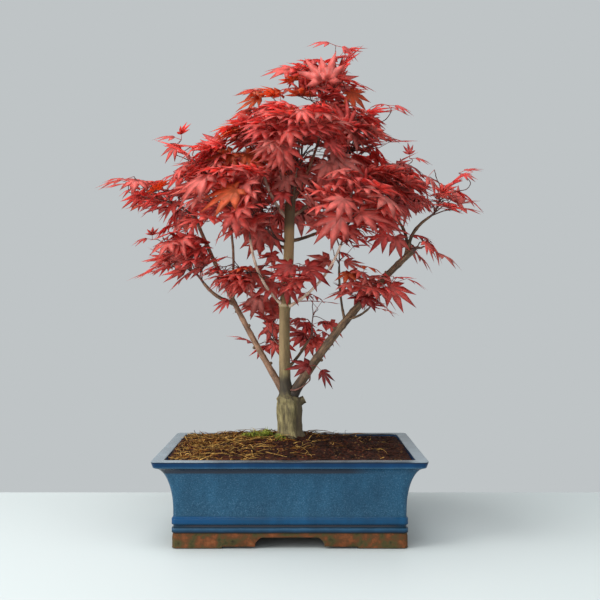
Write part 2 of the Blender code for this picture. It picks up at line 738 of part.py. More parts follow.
def outward_of(place):
    """The level way from the tree's middle to a place."""
    flat = Vector((place.x, place.y, 0))
    return flat.normalized() if flat.length > 0.01 else Vector((0, -1, 0))


def leaf_try(mass, nodes, size, chance):
    """One way to hang a leaf on the twigs: its middle, its node, where it lies, and its length;
    None where the blade would leave the space or lie nearer to another mass."""
    node, ahead = chance.choice(nodes)
    sideways = Vector(chance.gauss(0, 1) for _ in range(3)).normalized()
    stalk = (ahead * STALK_AHEAD + sideways * STALK_SIDEWAYS + Vector((0, 0, STALK_UP))).normalized()
    joint = node + stalk * chance.uniform(*STALK_LENGTH)
    outward = outward_of(joint)
    forward = stalk * BLADE_ON + outward * BLADE_OUT
    forward.z -= chance.uniform(*BLADE_HANG)
    forward.normalize()
    face = Vector((0, 0, 1)) + outward * chance.uniform(*FACE_OUT)
    face += Vector(chance.uniform(-FACE_TURN, FACE_TURN) for _ in range(3))
    up = (face - forward * face.dot(forward)).normalized()
    if stalk.dot(forward) < SHARPEST_KNEE:
        return None
    length = chance.uniform(*LEAF_LENGTH) * size
    frame = Matrix.Translation(joint) @ Matrix((forward, up.cross(forward), up)).transposed().to_4x4()
    if any(share_of_space(mass, frame @ point) > 1 for point in leaf_outline(length)):
        return None
    middle = joint + forward * length * BLADE_MIDDLE
    if nearest_mass(middle) is not mass:
        return None
    return middle, node, frame, length


def clear_of(shape, obstacles):
    tree = BVHTree.FromBMesh(shape)
    return not any(tree.overlap(obstacle) for obstacle in obstacles)


def grow_twigs(mass, start, heading, root_radius, limbs_and_masses, chance):
    """A stem from the limb to the middle of the space, and shoots that leave it. The stem's
    first step goes straight on from its seat, so that its end face lies square to it."""
    heart = Vector(mass.heart)
    seat_end = start + heading * STEM_SEAT
    bend = seat_end + heading * (heart - seat_end).length * STEM_BEND
    stem = [start] + [bent_line(seat_end, bend, heart, step / STEM_STEPS) for step in range(STEM_STEPS + 1)]
    shapes = [twig_shape(stem, root_radius, TWIG_TIP_RADIUS)]
    lines = [stem]
    for end in spread_places(mass, mass.shoots, *SHOOT_ENDS, chance):
        root, ahead = fork_place(stem, end, chance)
        reach = (end - root).length
        bend = root + (ahead + (end - root).normalized()) * reach * SHOOT_BEND
        bend.z += reach * SHOOT_RISE
        line = [root] + [bent_line(root, bend, end, share) for share in SHOOT_RINGS]
        shape = twig_shape(line, SHOOT_RADIUS, TWIG_TIP_RADIUS, sunk=True)
        if clear_of(shape, limbs_and_masses):
            shapes.append(shape)
            lines.append(line)
        else:
            shape.free()
    return shapes, lines


def grow_leaves(mass, twigs, lines, limbs_and_masses, chance):
    """Blades spread through the space, each on a stalk from a node of a twig. Of many ways to
    hang the next leaf, the roomiest one that touches nothing is taken; the first leaf is the
    one that reaches furthest out of the crown."""
    nodes = []
    for line in lines:
        nodes += [along(line, (step + chance.uniform(-0.3, 0.3)) / NODE_PLACES)
                  for step in range(FIRST_NODE, NODE_PLACES)]
    own_twigs = [BVHTree.FromBMesh(shape) for shape in twigs]
    size = min(1.0, min(mass.reach) / FULL_LEAF_REACH)
    middles = []
    own = []
    grown = []
    for _ in range(mass.leaves):
        tries = [leaf_try(mass, nodes, size, chance) for _ in range(LEAF_TRIES)]
        tries = [found for found in tries if found]

        def room(found):
            """How far a leaf lies from the others, with a lean towards the edge of the space."""
            middle, _, frame, length = found
            if not middles:
                return leading_way(mass).dot(frame @ Vector((length, 0, 0)))
            nearest = min((middle - other).length for other in middles)
            return nearest + EDGE_LEAN * share_of_space(mass, middle)

        for middle, node, frame, length in sorted(tries, key=room, reverse=True)[:LEAF_BEST]:
            blade, socket = leaf_blade(frame, length)
            if clear_of(blade, limbs_and_masses + own_twigs + own):
                draw_stalk(blade, socket, node)
                if clear_of(blade, limbs_and_masses + own):
                    own.append(BVHTree.FromBMesh(blade))
                    grown.append(blade)
                    middles.append(middle)
                    break
            blade.free()
    return grown


def make_mass(mass, lines, limbs_and_masses, plant, chance):
    if mass.carrier == "trunk":
        middle, radius = trunk_middle(mass.height)
        flat = (Vector(mass.heart) - middle) * Vector((1, 1, 0))
        way = flat.normalized()
        start = middle + way * (radius + GAP)
        heading = way
        root_radius = TRUNK_STEM_RADIUS
    else:
        line = lines[mass.carrier]
        heading = (line[-1] - line[-2]).normalized()
        start = line[-1] + heading * GAP
        root_radius = LIMB_STEM_RADIUS
    twigs, twig_lines = grow_twigs(mass, start, heading, root_radius, limbs_and_masses, chance)
    leaves = grow_leaves(mass, twigs, twig_lines, limbs_and_masses, chance)
    pieces = bpy.data.collections.new(mass.name + "_pieces")
    bpy.context.scene.collection.children.link(pieces)
    for shape in twigs[1:] + leaves:
        add_object("piece", mesh_of("piece", shape), pieces)
    obj = add_object(mass.name, mesh_of(mass.name, twigs[0]), plant)
    boolean(obj, "UNION", collection=pieces, solver="MANIFOLD")
    for piece in list(pieces.objects):
        remove(piece)
    bpy.data.collections.remove(pieces)
    keep_main_body(obj)
    obj.data.materials.clear()
    obj.data.materials.append(material(mass.name + "_leaves", LEAF_RED, 0.55))
    print(mass.name, "leaves", len(leaves), "of", mass.leaves, "twigs", len(twigs))
    return obj


def tree_of(obj):
    shape = bmesh.new()
    shape.from_mesh(obj.data)
    tree = BVHTree.FromBMesh(shape)
    shape.free()
    return tree


def settle_origin(plant):
    """Moves every mesh so that the whole plant's box stands with its bottom centre at the origin."""
    corners = [vert.co for obj in plant.objects for vert in obj.data.vertices]
    middle = [(min(c[axis] for c in corners) + max(c[axis] for c in corners)) / 2 for axis in range(2)]
    shift = Matrix.Translation((-middle[0], -middle[1], -min(c.z for c in corners)))
    for obj in plant.objects:
        obj.data.transform(shift)
        obj.data.update()
    print("moved by", tuple(round(value, 5) for value in shift.translation))


def main():
    clear_scene()
    plant = bpy.data.collections.new("japanese_maple_bonsai")
    cutters = bpy.data.collections.new("cutters")
    bpy.context.scene.collection.children.link(plant)
    bpy.context.scene.collection.children.link(cutters)
    make_pot(plant, cutters)
    make_soil(plant)
    make_trunk(plant)
    lines = make_limbs(plant, cutters)
    obstacles = [tree_of(obj) for obj in plant.objects]
    chance = random.Random(SEED)
    for mass in MASSES:
        obj = make_mass(mass, lines, obstacles, plant, chance)
        obstacles.append(tree_of(obj))
    settle_origin(plant)


main()
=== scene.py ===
# %% [markdown]
# A red maple bonsai in a blue glazed pot.
#
# The real object is a young Japanese maple of about 41 cm, trained with one straight leader and
# two slender boughs, in a hand-pressed stoneware pot of 26 by 19.5 by 8.5 cm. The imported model
# gives every piece its place and its reach. This lesson gives every piece its surface: glaze,
# bare clay, soil, bark, twigs and leaves.

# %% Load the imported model
import json
import math
import random
from collections import namedtuple

import bpy
import numpy as np
from mathutils import Matrix, Vector, noise
from mathutils.bvhtree import BVHTree

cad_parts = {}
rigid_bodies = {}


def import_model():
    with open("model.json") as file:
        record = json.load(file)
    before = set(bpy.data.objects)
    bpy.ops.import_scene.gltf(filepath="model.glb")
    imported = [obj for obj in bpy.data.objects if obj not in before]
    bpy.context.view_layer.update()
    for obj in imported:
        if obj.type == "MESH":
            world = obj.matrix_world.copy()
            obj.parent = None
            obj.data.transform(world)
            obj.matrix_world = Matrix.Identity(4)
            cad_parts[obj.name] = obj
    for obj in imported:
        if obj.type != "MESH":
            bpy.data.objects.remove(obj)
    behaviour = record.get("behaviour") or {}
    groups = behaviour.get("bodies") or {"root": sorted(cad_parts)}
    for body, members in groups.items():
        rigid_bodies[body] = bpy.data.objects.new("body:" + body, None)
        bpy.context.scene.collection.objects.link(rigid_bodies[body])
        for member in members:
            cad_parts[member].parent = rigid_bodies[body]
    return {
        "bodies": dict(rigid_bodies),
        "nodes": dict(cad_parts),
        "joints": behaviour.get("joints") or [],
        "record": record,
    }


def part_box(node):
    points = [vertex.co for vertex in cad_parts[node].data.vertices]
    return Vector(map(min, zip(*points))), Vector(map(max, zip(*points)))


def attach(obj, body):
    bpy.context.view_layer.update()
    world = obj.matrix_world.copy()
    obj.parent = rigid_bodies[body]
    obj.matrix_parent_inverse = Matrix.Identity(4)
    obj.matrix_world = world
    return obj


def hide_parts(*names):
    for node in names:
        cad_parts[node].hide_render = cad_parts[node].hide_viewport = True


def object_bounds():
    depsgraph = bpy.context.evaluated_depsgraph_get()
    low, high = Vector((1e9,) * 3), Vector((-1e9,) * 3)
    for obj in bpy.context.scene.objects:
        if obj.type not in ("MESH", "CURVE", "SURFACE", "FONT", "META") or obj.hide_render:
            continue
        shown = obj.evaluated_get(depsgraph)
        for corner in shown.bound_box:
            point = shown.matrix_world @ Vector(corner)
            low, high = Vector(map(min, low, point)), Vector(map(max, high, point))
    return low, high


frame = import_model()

CAD_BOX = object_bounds()
MM = 0.001


def mm(*lengths):
    """Lengths in mm as metres."""
    return tuple(length / 1000 for length in lengths)


pot_low, pot_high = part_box("pot")
POT_X = (pot_low[0] + pot_high[0]) / 2
POT_Y = (pot_low[1] + pot_high[1]) / 2
HOME = Vector((POT_X, POT_Y, 0.0))
print("box of the packed model", [[round(v, 4) for v in corner] for corner in CAD_BOX])

# %% [markdown]
# Every step below works on one object at a time. Blender's operators act on all that is
# selected, so small helpers come first: one selects a single object, one adds a primitive with
# nothing else selected, and one goes into edit mode with only those edges selected that pass a
# test of their place.

# %% Helpers for selecting
def to_mode(name):
    bpy.ops.object.mode_set(mode=name)


def start_fresh():
    """Object mode with nothing selected."""
    if bpy.context.object and bpy.context.object.mode != "OBJECT":
        to_mode("OBJECT")
    bpy.ops.object.select_all(action="DESELECT")


def pick(obj):
    start_fresh()
    obj.select_set(True)
    bpy.context.view_layer.objects.active = obj


def added(primitive, **settings):
    """A new primitive, which is then the only thing selected."""
    start_fresh()
    primitive(**settings)
    return bpy.context.object


def edit_all(obj):
    """Edit mode with everything selected."""
    pick(obj)
    to_mode("EDIT")
    bpy.ops.mesh.select_all(action="SELECT")


def edit_edges(obj, test):
    """Edit mode with those edges selected whose two ends pass the test."""
    pick(obj)
    to_mode("EDIT")
    bpy.ops.mesh.select_mode(type="EDGE")
    bpy.ops.mesh.select_all(action="DESELECT")
    to_mode("OBJECT")
    corners = obj.data.vertices
    for edge in obj.data.edges:
        edge.select = test(*(corners[number].co for number in edge.vertices))
    to_mode("EDIT")


def lengthwise(a, b):
    """Whether an edge runs along a primitive that is 1 long in Z."""
    return abs(a.z - b.z) > 0.5


def settle(obj, name):
    """Ends edit mode and lays the object's place, turn and size into its mesh."""
    pick(obj)
    bpy.ops.object.transform_apply(location=True, rotation=True, scale=True)
    obj.name = name
    obj.data.name = name
    return obj


def apply_modifiers(obj):
    pick(obj)
    for modifier in list(obj.modifiers):
        bpy.ops.object.modifier_apply(modifier=modifier.name)


def triangles(obj):
    return sum(len(face.vertices) - 2 for face in obj.data.polygons)


def clamped(value, low=0.0, high=1.0):
    return max(low, min(high, value))


def place_at(degrees, radius, height=0):
    turn = math.radians(degrees)
    return radius * math.cos(turn), radius * math.sin(turn), height


def noise_sum(place, layers):
    """Noise in layers, each a scale and a depth."""
    return sum(noise.noise(place * scale) * depth for scale, depth in layers)


# %% [markdown]
# Colours are written as the hex values that a paint program shows. Blender's shaders want
# linear light, so one function turns them. A second one adds a shader node with its settings
# and its links, so that a material reads as a short recipe.

# %% Helpers for materials
def linear(hex_value):
    values = [int(hex_value[place:place + 2], 16) / 255 for place in (1, 3, 5)]
    return [v / 12.92 if v <= 0.04045 else ((v + 0.055) / 1.055) ** 2.4 for v in values] + [1.0]


def new_material(name):
    material = bpy.data.materials.new(name)
    material.use_nodes = True
    return material, material.node_tree, material.node_tree.nodes["Principled BSDF"]


def add_node(tree, kind, settings=None, inputs=None):
    """Adds a node; a setting is an attribute of it, an input is a number, a colour or the
    socket to link from."""
    node = tree.nodes.new(kind)
    for key, value in (settings or {}).items():
        setattr(node, key, value)
    for key, value in (inputs or {}).items():
        socket = node.inputs[key]
        if isinstance(value, bpy.types.NodeSocket):
            tree.links.new(value, socket)
        else:
            socket.default_value = value
    return node


def colour_steps(tree, value, stops):
    """A Color Ramp read at a value; its stops are pairs of place and hex colour."""
    node = add_node(tree, "ShaderNodeValToRGB", inputs={"Fac": value})
    ramp = node.color_ramp
    while len(ramp.elements) > 1:
        ramp.elements.remove(ramp.elements[-1])
    for number, (place, hex_value) in enumerate(stops):
        element = ramp.elements[0] if number == 0 else ramp.elements.new(place)
        element.position = place
        element.color = linear(hex_value)
    return node.outputs["Color"]


def spots(size_mm):
    """The scale of a noise with spots of a real size: how many of them lie along a metre."""
    return round(1000 / size_mm)


def noise_colours(tree, vector, scale, detail, stops, roughness=0.5):
    """A noise read through a colour ramp: its colour, and the plain noise for a bump."""
    texture = add_node(tree, "ShaderNodeTexNoise", inputs={
        "Vector": vector, "Scale": scale, "Detail": detail, "Roughness": roughness})
    return colour_steps(tree, texture.outputs["Fac"], stops), texture.outputs["Fac"]


def object_place(tree):
    return add_node(tree, "ShaderNodeTexCoord").outputs["Object"]


def split_place(tree):
    return add_node(tree, "ShaderNodeSeparateXYZ", inputs={"Vector": object_place(tree)}).outputs


def calculated(tree, operation, *values):
    """A Math node's result."""
    return add_node(tree, "ShaderNodeMath", {"operation": operation}, dict(enumerate(values))).outputs[0]


def product(tree, first, second):
    return calculated(tree, "MULTIPLY", first, second)


def smooth_step(tree, value, zero_at, one_at):
    return add_node(tree, "ShaderNodeMapRange", {"interpolation_type": "SMOOTHSTEP"},
                    {"Value": value, "From Min": zero_at, "From Max": one_at}).outputs[0]


def band(tree, value, start, end, soft, strength=1.0):
    """A strength between two values and 0 outside, with soft edges."""
    inside = product(tree, smooth_step(tree, value, start - soft, start + soft),
                     smooth_step(tree, value, end + soft, end - soft))
    return product(tree, inside, strength)


def mixed(tree, factor, first, second, blend="MIX"):
    node = add_node(tree, "ShaderNodeMix", {"data_type": "RGBA", "blend_type": blend})
    # A Mix node has a set of sockets for each kind of value; its two colours are 6 and 7
    for number, value in ((0, factor), (6, first), (7, second)):
        socket = node.inputs[number]
        if isinstance(value, str):
            value = linear(value)
        if isinstance(value, bpy.types.NodeSocket):
            tree.links.new(value, socket)
        else:
            socket.default_value = value
    return node.outputs[2]


def painted(tree, shader, colour, roughness, specular=0.5):
    tree.links.new(colour, shader.inputs["Base Color"])
    shader.inputs["Roughness"].default_value = roughness
    shader.inputs["Specular IOR Level"].default_value = specular


def bumped(tree, shader, height, strength, depth):
    bump = add_node(tree, "ShaderNodeBump", inputs={
        "Height": height, "Strength": strength, "Distance": depth})
    tree.links.new(bump.outputs[0], shader.inputs["Normal"])


def dressed(piece, slot, *nodes):
    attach(piece, "root")
    if nodes:
        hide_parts(*nodes)
    print(piece.name, triangles(piece), "triangles")


# %% [markdown]
# The photograph was taken from straight ahead, level with the lowest leaves, about a metre
# away. The eye's height and distance follow from the pot's rim: how much of the soil shows
# between its near and far edge tells how high the eye is over it.

# %% Camera
EYE_FROM_POT = Vector((0.0096, -0.953, 0.232))
EYE_PITCH = math.radians(0.21)
FOCAL_PIXELS = 923
IMAGE_PIXELS = 600
SENSOR_MM = 36

camera_data = bpy.data.cameras.new("camera")
camera_data.sensor_width = SENSOR_MM
camera_data.lens = SENSOR_MM * FOCAL_PIXELS / IMAGE_PIXELS
camera = bpy.data.objects.new("camera", camera_data)
camera.location = HOME + EYE_FROM_POT
camera.rotation_euler = (math.radians(90) + EYE_PITCH, 0, 0)
bpy.context.scene.collection.objects.link(camera)
bpy.context.scene.camera = camera
bpy.context.scene.view_settings.view_transform = "Standard"
print("lens", round(camera_data.lens, 1), "mm")

# %% [markdown]
# The studio is a white table in front of a pale grey wall, lit by large soft lights from above
# and from both sides. The wall is the world's own colour, so that it is there from every side.
# A wide table top is enough of a floor.

# %% Table and light
TABLE_SIZE = (3.2, 2.0)
TABLE_BACK = 0.176
TABLE_DROP = 0.2 * MM
TABLE_WHITE, TABLE_ROUGHNESS = "#ABB2B2", 0.55
WALL_GREY = "#BFC4C6"

table = added(bpy.ops.mesh.primitive_plane_add, size=1)
table.scale = (*TABLE_SIZE, 1)
table.location = (0, TABLE_BACK - TABLE_SIZE[1] / 2, -TABLE_DROP)
settle(table, "table_top")
material, tree, shader = new_material("white_laminate_table")
shader.inputs["Base Color"].default_value = linear(TABLE_WHITE)
shader.inputs["Roughness"].default_value = TABLE_ROUGHNESS
table.data.materials.append(material)

world = bpy.data.worlds.new("pale_wall")
bpy.context.scene.world = world
world.use_nodes = True
world.node_tree.nodes["Background"].inputs["Color"].default_value = linear(WALL_GREY)

LIGHT_AIM = Vector((0, 0, 0.28))
# Name, place, size, watts and tint
SOFTBOXES = (
    ("overhead_softbox", (-0.25, -0.35, 1.55), (1.3, 1.0), 31, "#FFFFFF"),
    ("left_softbox", (-1.5, -0.8, 0.75), (0.8, 1.2), 30, "#FFFDFA"),
    ("right_softbox", (1.5, -0.6, 0.7), (0.8, 1.2), 5.5, "#FAFCFF"),
    ("front_softbox", (-0.5, -2.2, 0.6), (1.6, 1.2), 14, "#FFFFFF"),
)


def soft_light(name, place, size, watts, tint):
    data = bpy.data.lights.new(name, "AREA")
    data.shape = "RECTANGLE"
    data.size, data.size_y = size
    data.energy = watts
    data.color = linear(tint)[:3]
    light = bpy.data.objects.new(name, data)
    light.location = place
    light.rotation_euler = (LIGHT_AIM - Vector(place)).to_track_quat("-Z", "Y").to_euler()
    bpy.context.scene.collection.objects.link(light)


for softbox in SOFTBOXES:
    soft_light(*softbox)
print(len(SOFTBOXES), "soft lights")

# %% [markdown]
# The pot is pressed stoneware: a thin lip, a wall that flares out to it in a quarter of an
# ellipse, a plinth with a groove, and a foot ring. A potter would draw it as one profile run
# round a rounded rectangle. Here a circle is laid out as that rectangle, and its face is then
# extruded and resized from station to station of the profile, up the outside, over the rim and
# down the inside. Modelling it so keeps one clean skin with evenly spaced corners.

# %% Pot body
POT_LENGTH, POT_WIDTH, POT_HEIGHT = 0.260, 0.195, 0.085
RIM_WIDTH = 0.0115
LIP_HEIGHT = 0.0068
LIP_SLANT = 0.0016
WALL_INSET = 0.0185
FLARE_FOOT = 0.036
PLINTH_TOP = 0.0295
PLINTH_PROUD = 0.0012
GROOVE_TOP, GROOVE_FOOT = 0.0225, 0.0195
GLAZE_FOOT = 0.0148
WALL_THICKNESS = 0.0075
FLOOR_TOP = 0.019
POT_CORNER = 0.0046
CORNER_POINTS = 7
LONG_SIDE_POINTS, SHORT_SIDE_POINTS = 26, 20
FLARE_STATIONS = 22


def rectangle_outline(half_x, half_y, radius):
    """Places round a rounded rectangle, evenly spaced along its corners and its sides."""
    places = []
    for number, (side_x, side_y) in enumerate(((1, 1), (-1, 1), (-1, -1), (1, -1))):
        for step in range(CORNER_POINTS):
            x, y, _ = place_at(90 * (number + step / (CORNER_POINTS - 1)), radius)
            places.append((side_x * (half_x - radius) + x, side_y * (half_y - radius) + y))
        x, y = places[-1]
        long_side = side_x == side_y
        count = LONG_SIDE_POINTS if long_side else SHORT_SIDE_POINTS
        following = (-x, y) if long_side else (x, -y)
        for step in range(1, count + 1):
            share = step / (count + 1)
            places.append(tuple(a + (b - a) * share for a, b in zip((x, y), following)))
    return places


def arc(middle, radius, start, end, steps):
    """Places on an arc in the plane of inset and height."""
    turns = [start + (end - start) * step / steps for step in range(steps + 1)]
    return [tuple(a + b for a, b in zip(middle, place_at(turn, radius))) for turn in turns]


def pot_profile():
    """Insets from the rim's outline and heights, from the foot up, over the rim and down."""
    flare_top = POT_HEIGHT - LIP_HEIGHT
    proud = WALL_INSET - PLINTH_PROUD
    edge, lip, foot, tuck = mm(0.7, 1.4, 1.6, 0.8)
    groove = WALL_INSET + 0.3 * MM
    # The foot, the bead over it, the groove and the plinth
    places = arc((WALL_INSET + tuck, foot), foot, 270, 180, 4)
    places += [(WALL_INSET - tuck, GLAZE_FOOT - 4 * MM), (WALL_INSET - 0.3 * MM, GLAZE_FOOT - 1 * MM)]
    places += arc((proud + edge, GLAZE_FOOT + edge), edge, 240, 180, 3)
    places += arc((proud + edge, GROOVE_FOOT - edge), edge, 180, 90, 3)
    places += [(groove, GROOVE_FOOT + 0.4 * MM), (groove, GROOVE_TOP - 0.4 * MM)]
    places += arc((proud + edge, GROOVE_TOP + edge), edge, 270, 180, 3)
    places += arc((proud + edge, PLINTH_TOP - 1.5 * MM), edge, 180, 110, 3)
    places += [(WALL_INSET, PLINTH_TOP)]
    # The flared wall, the lip and the rounded edges of the rim
    for step in range(FLARE_STATIONS):
        angle = math.radians(90 * step / FLARE_STATIONS)
        places.append((LIP_SLANT + (WALL_INSET - LIP_SLANT) * math.cos(angle),
                       flare_top - (flare_top - FLARE_FOOT) * (1 - math.sin(angle))))
    places += [(LIP_SLANT + 0.6 * MM, flare_top + 0.15 * MM)]
    places += arc((LIP_SLANT + edge, flare_top + 1.0 * MM), edge, 225, 180, 2)
    places += arc((edge, POT_HEIGHT - edge), edge, 180, 90, 5)
    places += arc((RIM_WIDTH - lip, POT_HEIGHT - lip), lip, 90, 10, 5)
    # Down the inside to the floor
    inner = RIM_WIDTH + WALL_INSET - WALL_THICKNESS / 2
    places += [(RIM_WIDTH + 4 * MM, POT_HEIGHT - 10 * MM), (inner - 4 * MM, FLARE_FOOT + 22 * MM),
               (inner, FLARE_FOOT + 10 * MM), (inner, FLOOR_TOP + 1 * MM), (inner + 1 * MM, FLOOR_TOP)]
    return places


def extrude_on(station, following):
    """Extrudes the selected face from one station of a profile, an inset and height, to the next."""
    (inset, height), (next_inset, next_height) = station, following
    bpy.ops.mesh.extrude_region_move(TRANSFORM_OT_translate={"value": (0, 0, next_height - height)})
    bpy.ops.transform.resize(
        value=((POT_LENGTH / 2 - next_inset) / (POT_LENGTH / 2 - inset),
               (POT_WIDTH / 2 - next_inset) / (POT_WIDTH / 2 - inset), 1),
        center_override=(POT_X, POT_Y, 0))


def make_pot_body():
    profile = pot_profile()
    foot_inset = profile[0][0]
    outline = rectangle_outline(POT_LENGTH / 2 - foot_inset, POT_WIDTH / 2 - foot_inset, POT_CORNER)
    pot = added(bpy.ops.mesh.primitive_circle_add, vertices=len(outline), radius=0.1, fill_type="NGON")
    for vert, (x, y) in zip(pot.data.vertices, outline):
        vert.co = (POT_X + x, POT_Y + y, 0.0)
    edit_all(pot)
    bpy.ops.mesh.select_mode(type="FACE")
    for stations in zip(profile, profile[1:]):
        extrude_on(*stations)
    bpy.ops.mesh.select_all(action="SELECT")
    bpy.ops.mesh.normals_make_consistent(inside=False)
    return settle(pot, "glazed_pot")


pot = make_pot_body()
print("pot skin", len(pot.data.vertices), "corners; height", round(pot.dimensions.z * 1000, 1), "mm")

# %% [markdown]
# Under the pot the clay is cut away: a hollow inside the foot ring, two drain holes, and a low
# cloud-shaped gap in each side that leaves four feet. Each gap is a bar whose upper edges are
# bevelled, with a thinner, wider bar for the step beside it. Booleans cut them all, and a fine
# bevel then takes the sharpness off the cut clay, as a wet sponge does.

# %% Feet, drain holes and wall
FOOT_RING = 0.013
FOOT_HOLLOW = 0.0105
OPENING_FRONT, OPENING_SIDE = 0.066, 0.046
OPENING_HEIGHT = 0.0106
OPENING_SLOPE = 0.0062
STEP_REACH = 0.032
STEP_HEIGHT = 0.0020
DRAIN_RADIUS = 0.0065
DRAIN_PLACE = 0.058
SPONGED_EDGE = 0.45 * MM
# How far the broad and the fine swells move the wall, as scale and depth in mm, and its draw-in
WALL_SWELLS = ((22, 0.35), (90, 0.12))
WALL_DRAW_IN = 0.4


def bar(name, size, height, bevel=0.0):
    """A block centred under the pot from just below the table up to a height; bevel slopes the
    upper edges that run through the wall."""
    below = 2 * MM
    close = 0.1 * MM
    block = added(bpy.ops.mesh.primitive_cube_add, size=1)
    block.scale = (*size, height + below)
    block.location = (POT_X, POT_Y, (height - below) / 2)
    settle(block, name)
    if bevel:
        axis = 0 if size[1] > size[0] else 1
        edit_edges(block, lambda *ends: all(
            end.z > height - close and abs(abs(end[axis] - HOME[axis]) - size[axis] / 2) < close
            for end in ends))
        bpy.ops.mesh.bevel(offset=bevel, segments=3, profile=0.35, affect="EDGES")
        to_mode("OBJECT")
    return block


def cut(obj, cutter):
    modifier = obj.modifiers.new("cut", "BOOLEAN")
    modifier.operation = "DIFFERENCE"
    modifier.object = cutter
    apply_modifiers(obj)
    bpy.data.objects.remove(cutter, do_unlink=True)


def cut_feet(pot):
    hollow = 2 * (WALL_INSET + FOOT_RING)
    cut(pot, bar("hollow", (POT_LENGTH - hollow, POT_WIDTH - hollow), FOOT_HOLLOW))
    reach_y, reach_x = POT_WIDTH * 1.1, POT_LENGTH * 1.1
    cut(pot, bar("front_gap", (OPENING_FRONT, reach_y), OPENING_HEIGHT, OPENING_SLOPE))
    cut(pot, bar("front_step", (OPENING_FRONT + 2 * STEP_REACH, reach_y), STEP_HEIGHT, STEP_HEIGHT / 2))
    cut(pot, bar("side_gap", (reach_x, OPENING_SIDE), OPENING_HEIGHT, OPENING_SLOPE))
    cut(pot, bar("side_step", (reach_x, OPENING_SIDE + STEP_REACH), STEP_HEIGHT, STEP_HEIGHT / 2))
    for side in (-1, 1):
        drain = added(bpy.ops.mesh.primitive_cylinder_add, vertices=32, radius=DRAIN_RADIUS, depth=0.04,
                      location=(POT_X + side * DRAIN_PLACE, POT_Y, FLOOR_TOP))
        cut(pot, settle(drain, "drain"))


def sponge_edges(pot):
    modifier = pot.modifiers.new("sponged", "BEVEL")
    modifier.width = SPONGED_EDGE
    modifier.segments = 2
    modifier.limit_method = "ANGLE"
    modifier.angle_limit = math.radians(50)
    apply_modifiers(pot)


def press_wall(pot):
    """The wall isn't machined: broad swells of a few tenths of a millimetre move it."""
    for vert in pot.data.vertices:
        if vert.co.z < 1 * MM:
            continue
        outward = Vector((vert.co.x - POT_X, vert.co.y - POT_Y, 0)).normalized()
        vert.co += outward * noise_sum(vert.co, WALL_SWELLS) * MM - outward * WALL_DRAW_IN * MM


cut_feet(pot)
sponge_edges(pot)
press_wall(pot)
pick(pot)
bpy.ops.object.shade_smooth_by_angle(angle=math.radians(32))
print("pot", triangles(pot), "triangles")

# %% [markdown]
# The glaze is a teal blue over brown stoneware, dipped and fired. Where it ran thick, in the band
# over the groove and on the lip, it is cobalt; where it pulled away from an edge or out of an
# undercut, the dark body shows through, with painted shade in the undercut of the lip and in the
# groove; on the wall it broke into fine pale specks. Light is painted in as well: the wall darkens
# towards its foot as painted shade, the lip's lower edge has a painted highlight, and the rim's
# edge and top are paler, partly as a painted reflection of the lights and partly as thin glaze.
# All of this goes by height, so one colour ramp reads the height, shaken a little by noise, and
# everything below the glaze line is bare clay.

# %% Glazed stoneware
GLAZE_ROUGHNESS, CLAY_ROUGHNESS = 0.24, 0.85
GLAZE_IOR = 1.52
# Heights from and to which the wall is speckled, the undercut of the lip and the groove are bare
# and painted with shade, and the cobalt pools, and over which the rim's top and the glaze start
SPECKLED, UNDERCUT_BARE_AND_SHADED, GROOVE_BARE_AND_SHADED = mm(30, 79), mm(72.4, 78.0), mm(20.2, 22.2)
COBALT_POOL, RIM_TOP, GLAZE_LINE = mm(23.8, 30.2), mm(84.0, 84.5), mm(13.9, 14.9)
# Height in mm and colour, from the foot to the rim. From 31 to 70 mm the wall is painted darker
# towards its foot as painted shade; 78.8 mm is a painted highlight on the lip's lower edge, and
# 84.6 and 85.0 mm paint the rim's edge and top paler, partly a painted reflection, partly thin glaze
GLAZE_AND_PAINTED_LIGHT_STOPS = (
    (14.4, "#2A221E"), (15.4, "#1E2C38"), (16.4, "#1A3A54"), (18.4, "#2A5470"), (19.8, "#16303F"),
    (22.6, "#153A54"), (24.6, "#134A6E"), (29.0, "#16486A"), (31.0, "#22485E"), (70.0, "#2C5B78"),
    (77.8, "#23435C"), (78.8, "#3E6884"), (79.8, "#083E66"), (83.0, "#06365E"), (83.8, "#0C2236"),
    (84.6, "#363D44"), (85.0, "#414A52"))


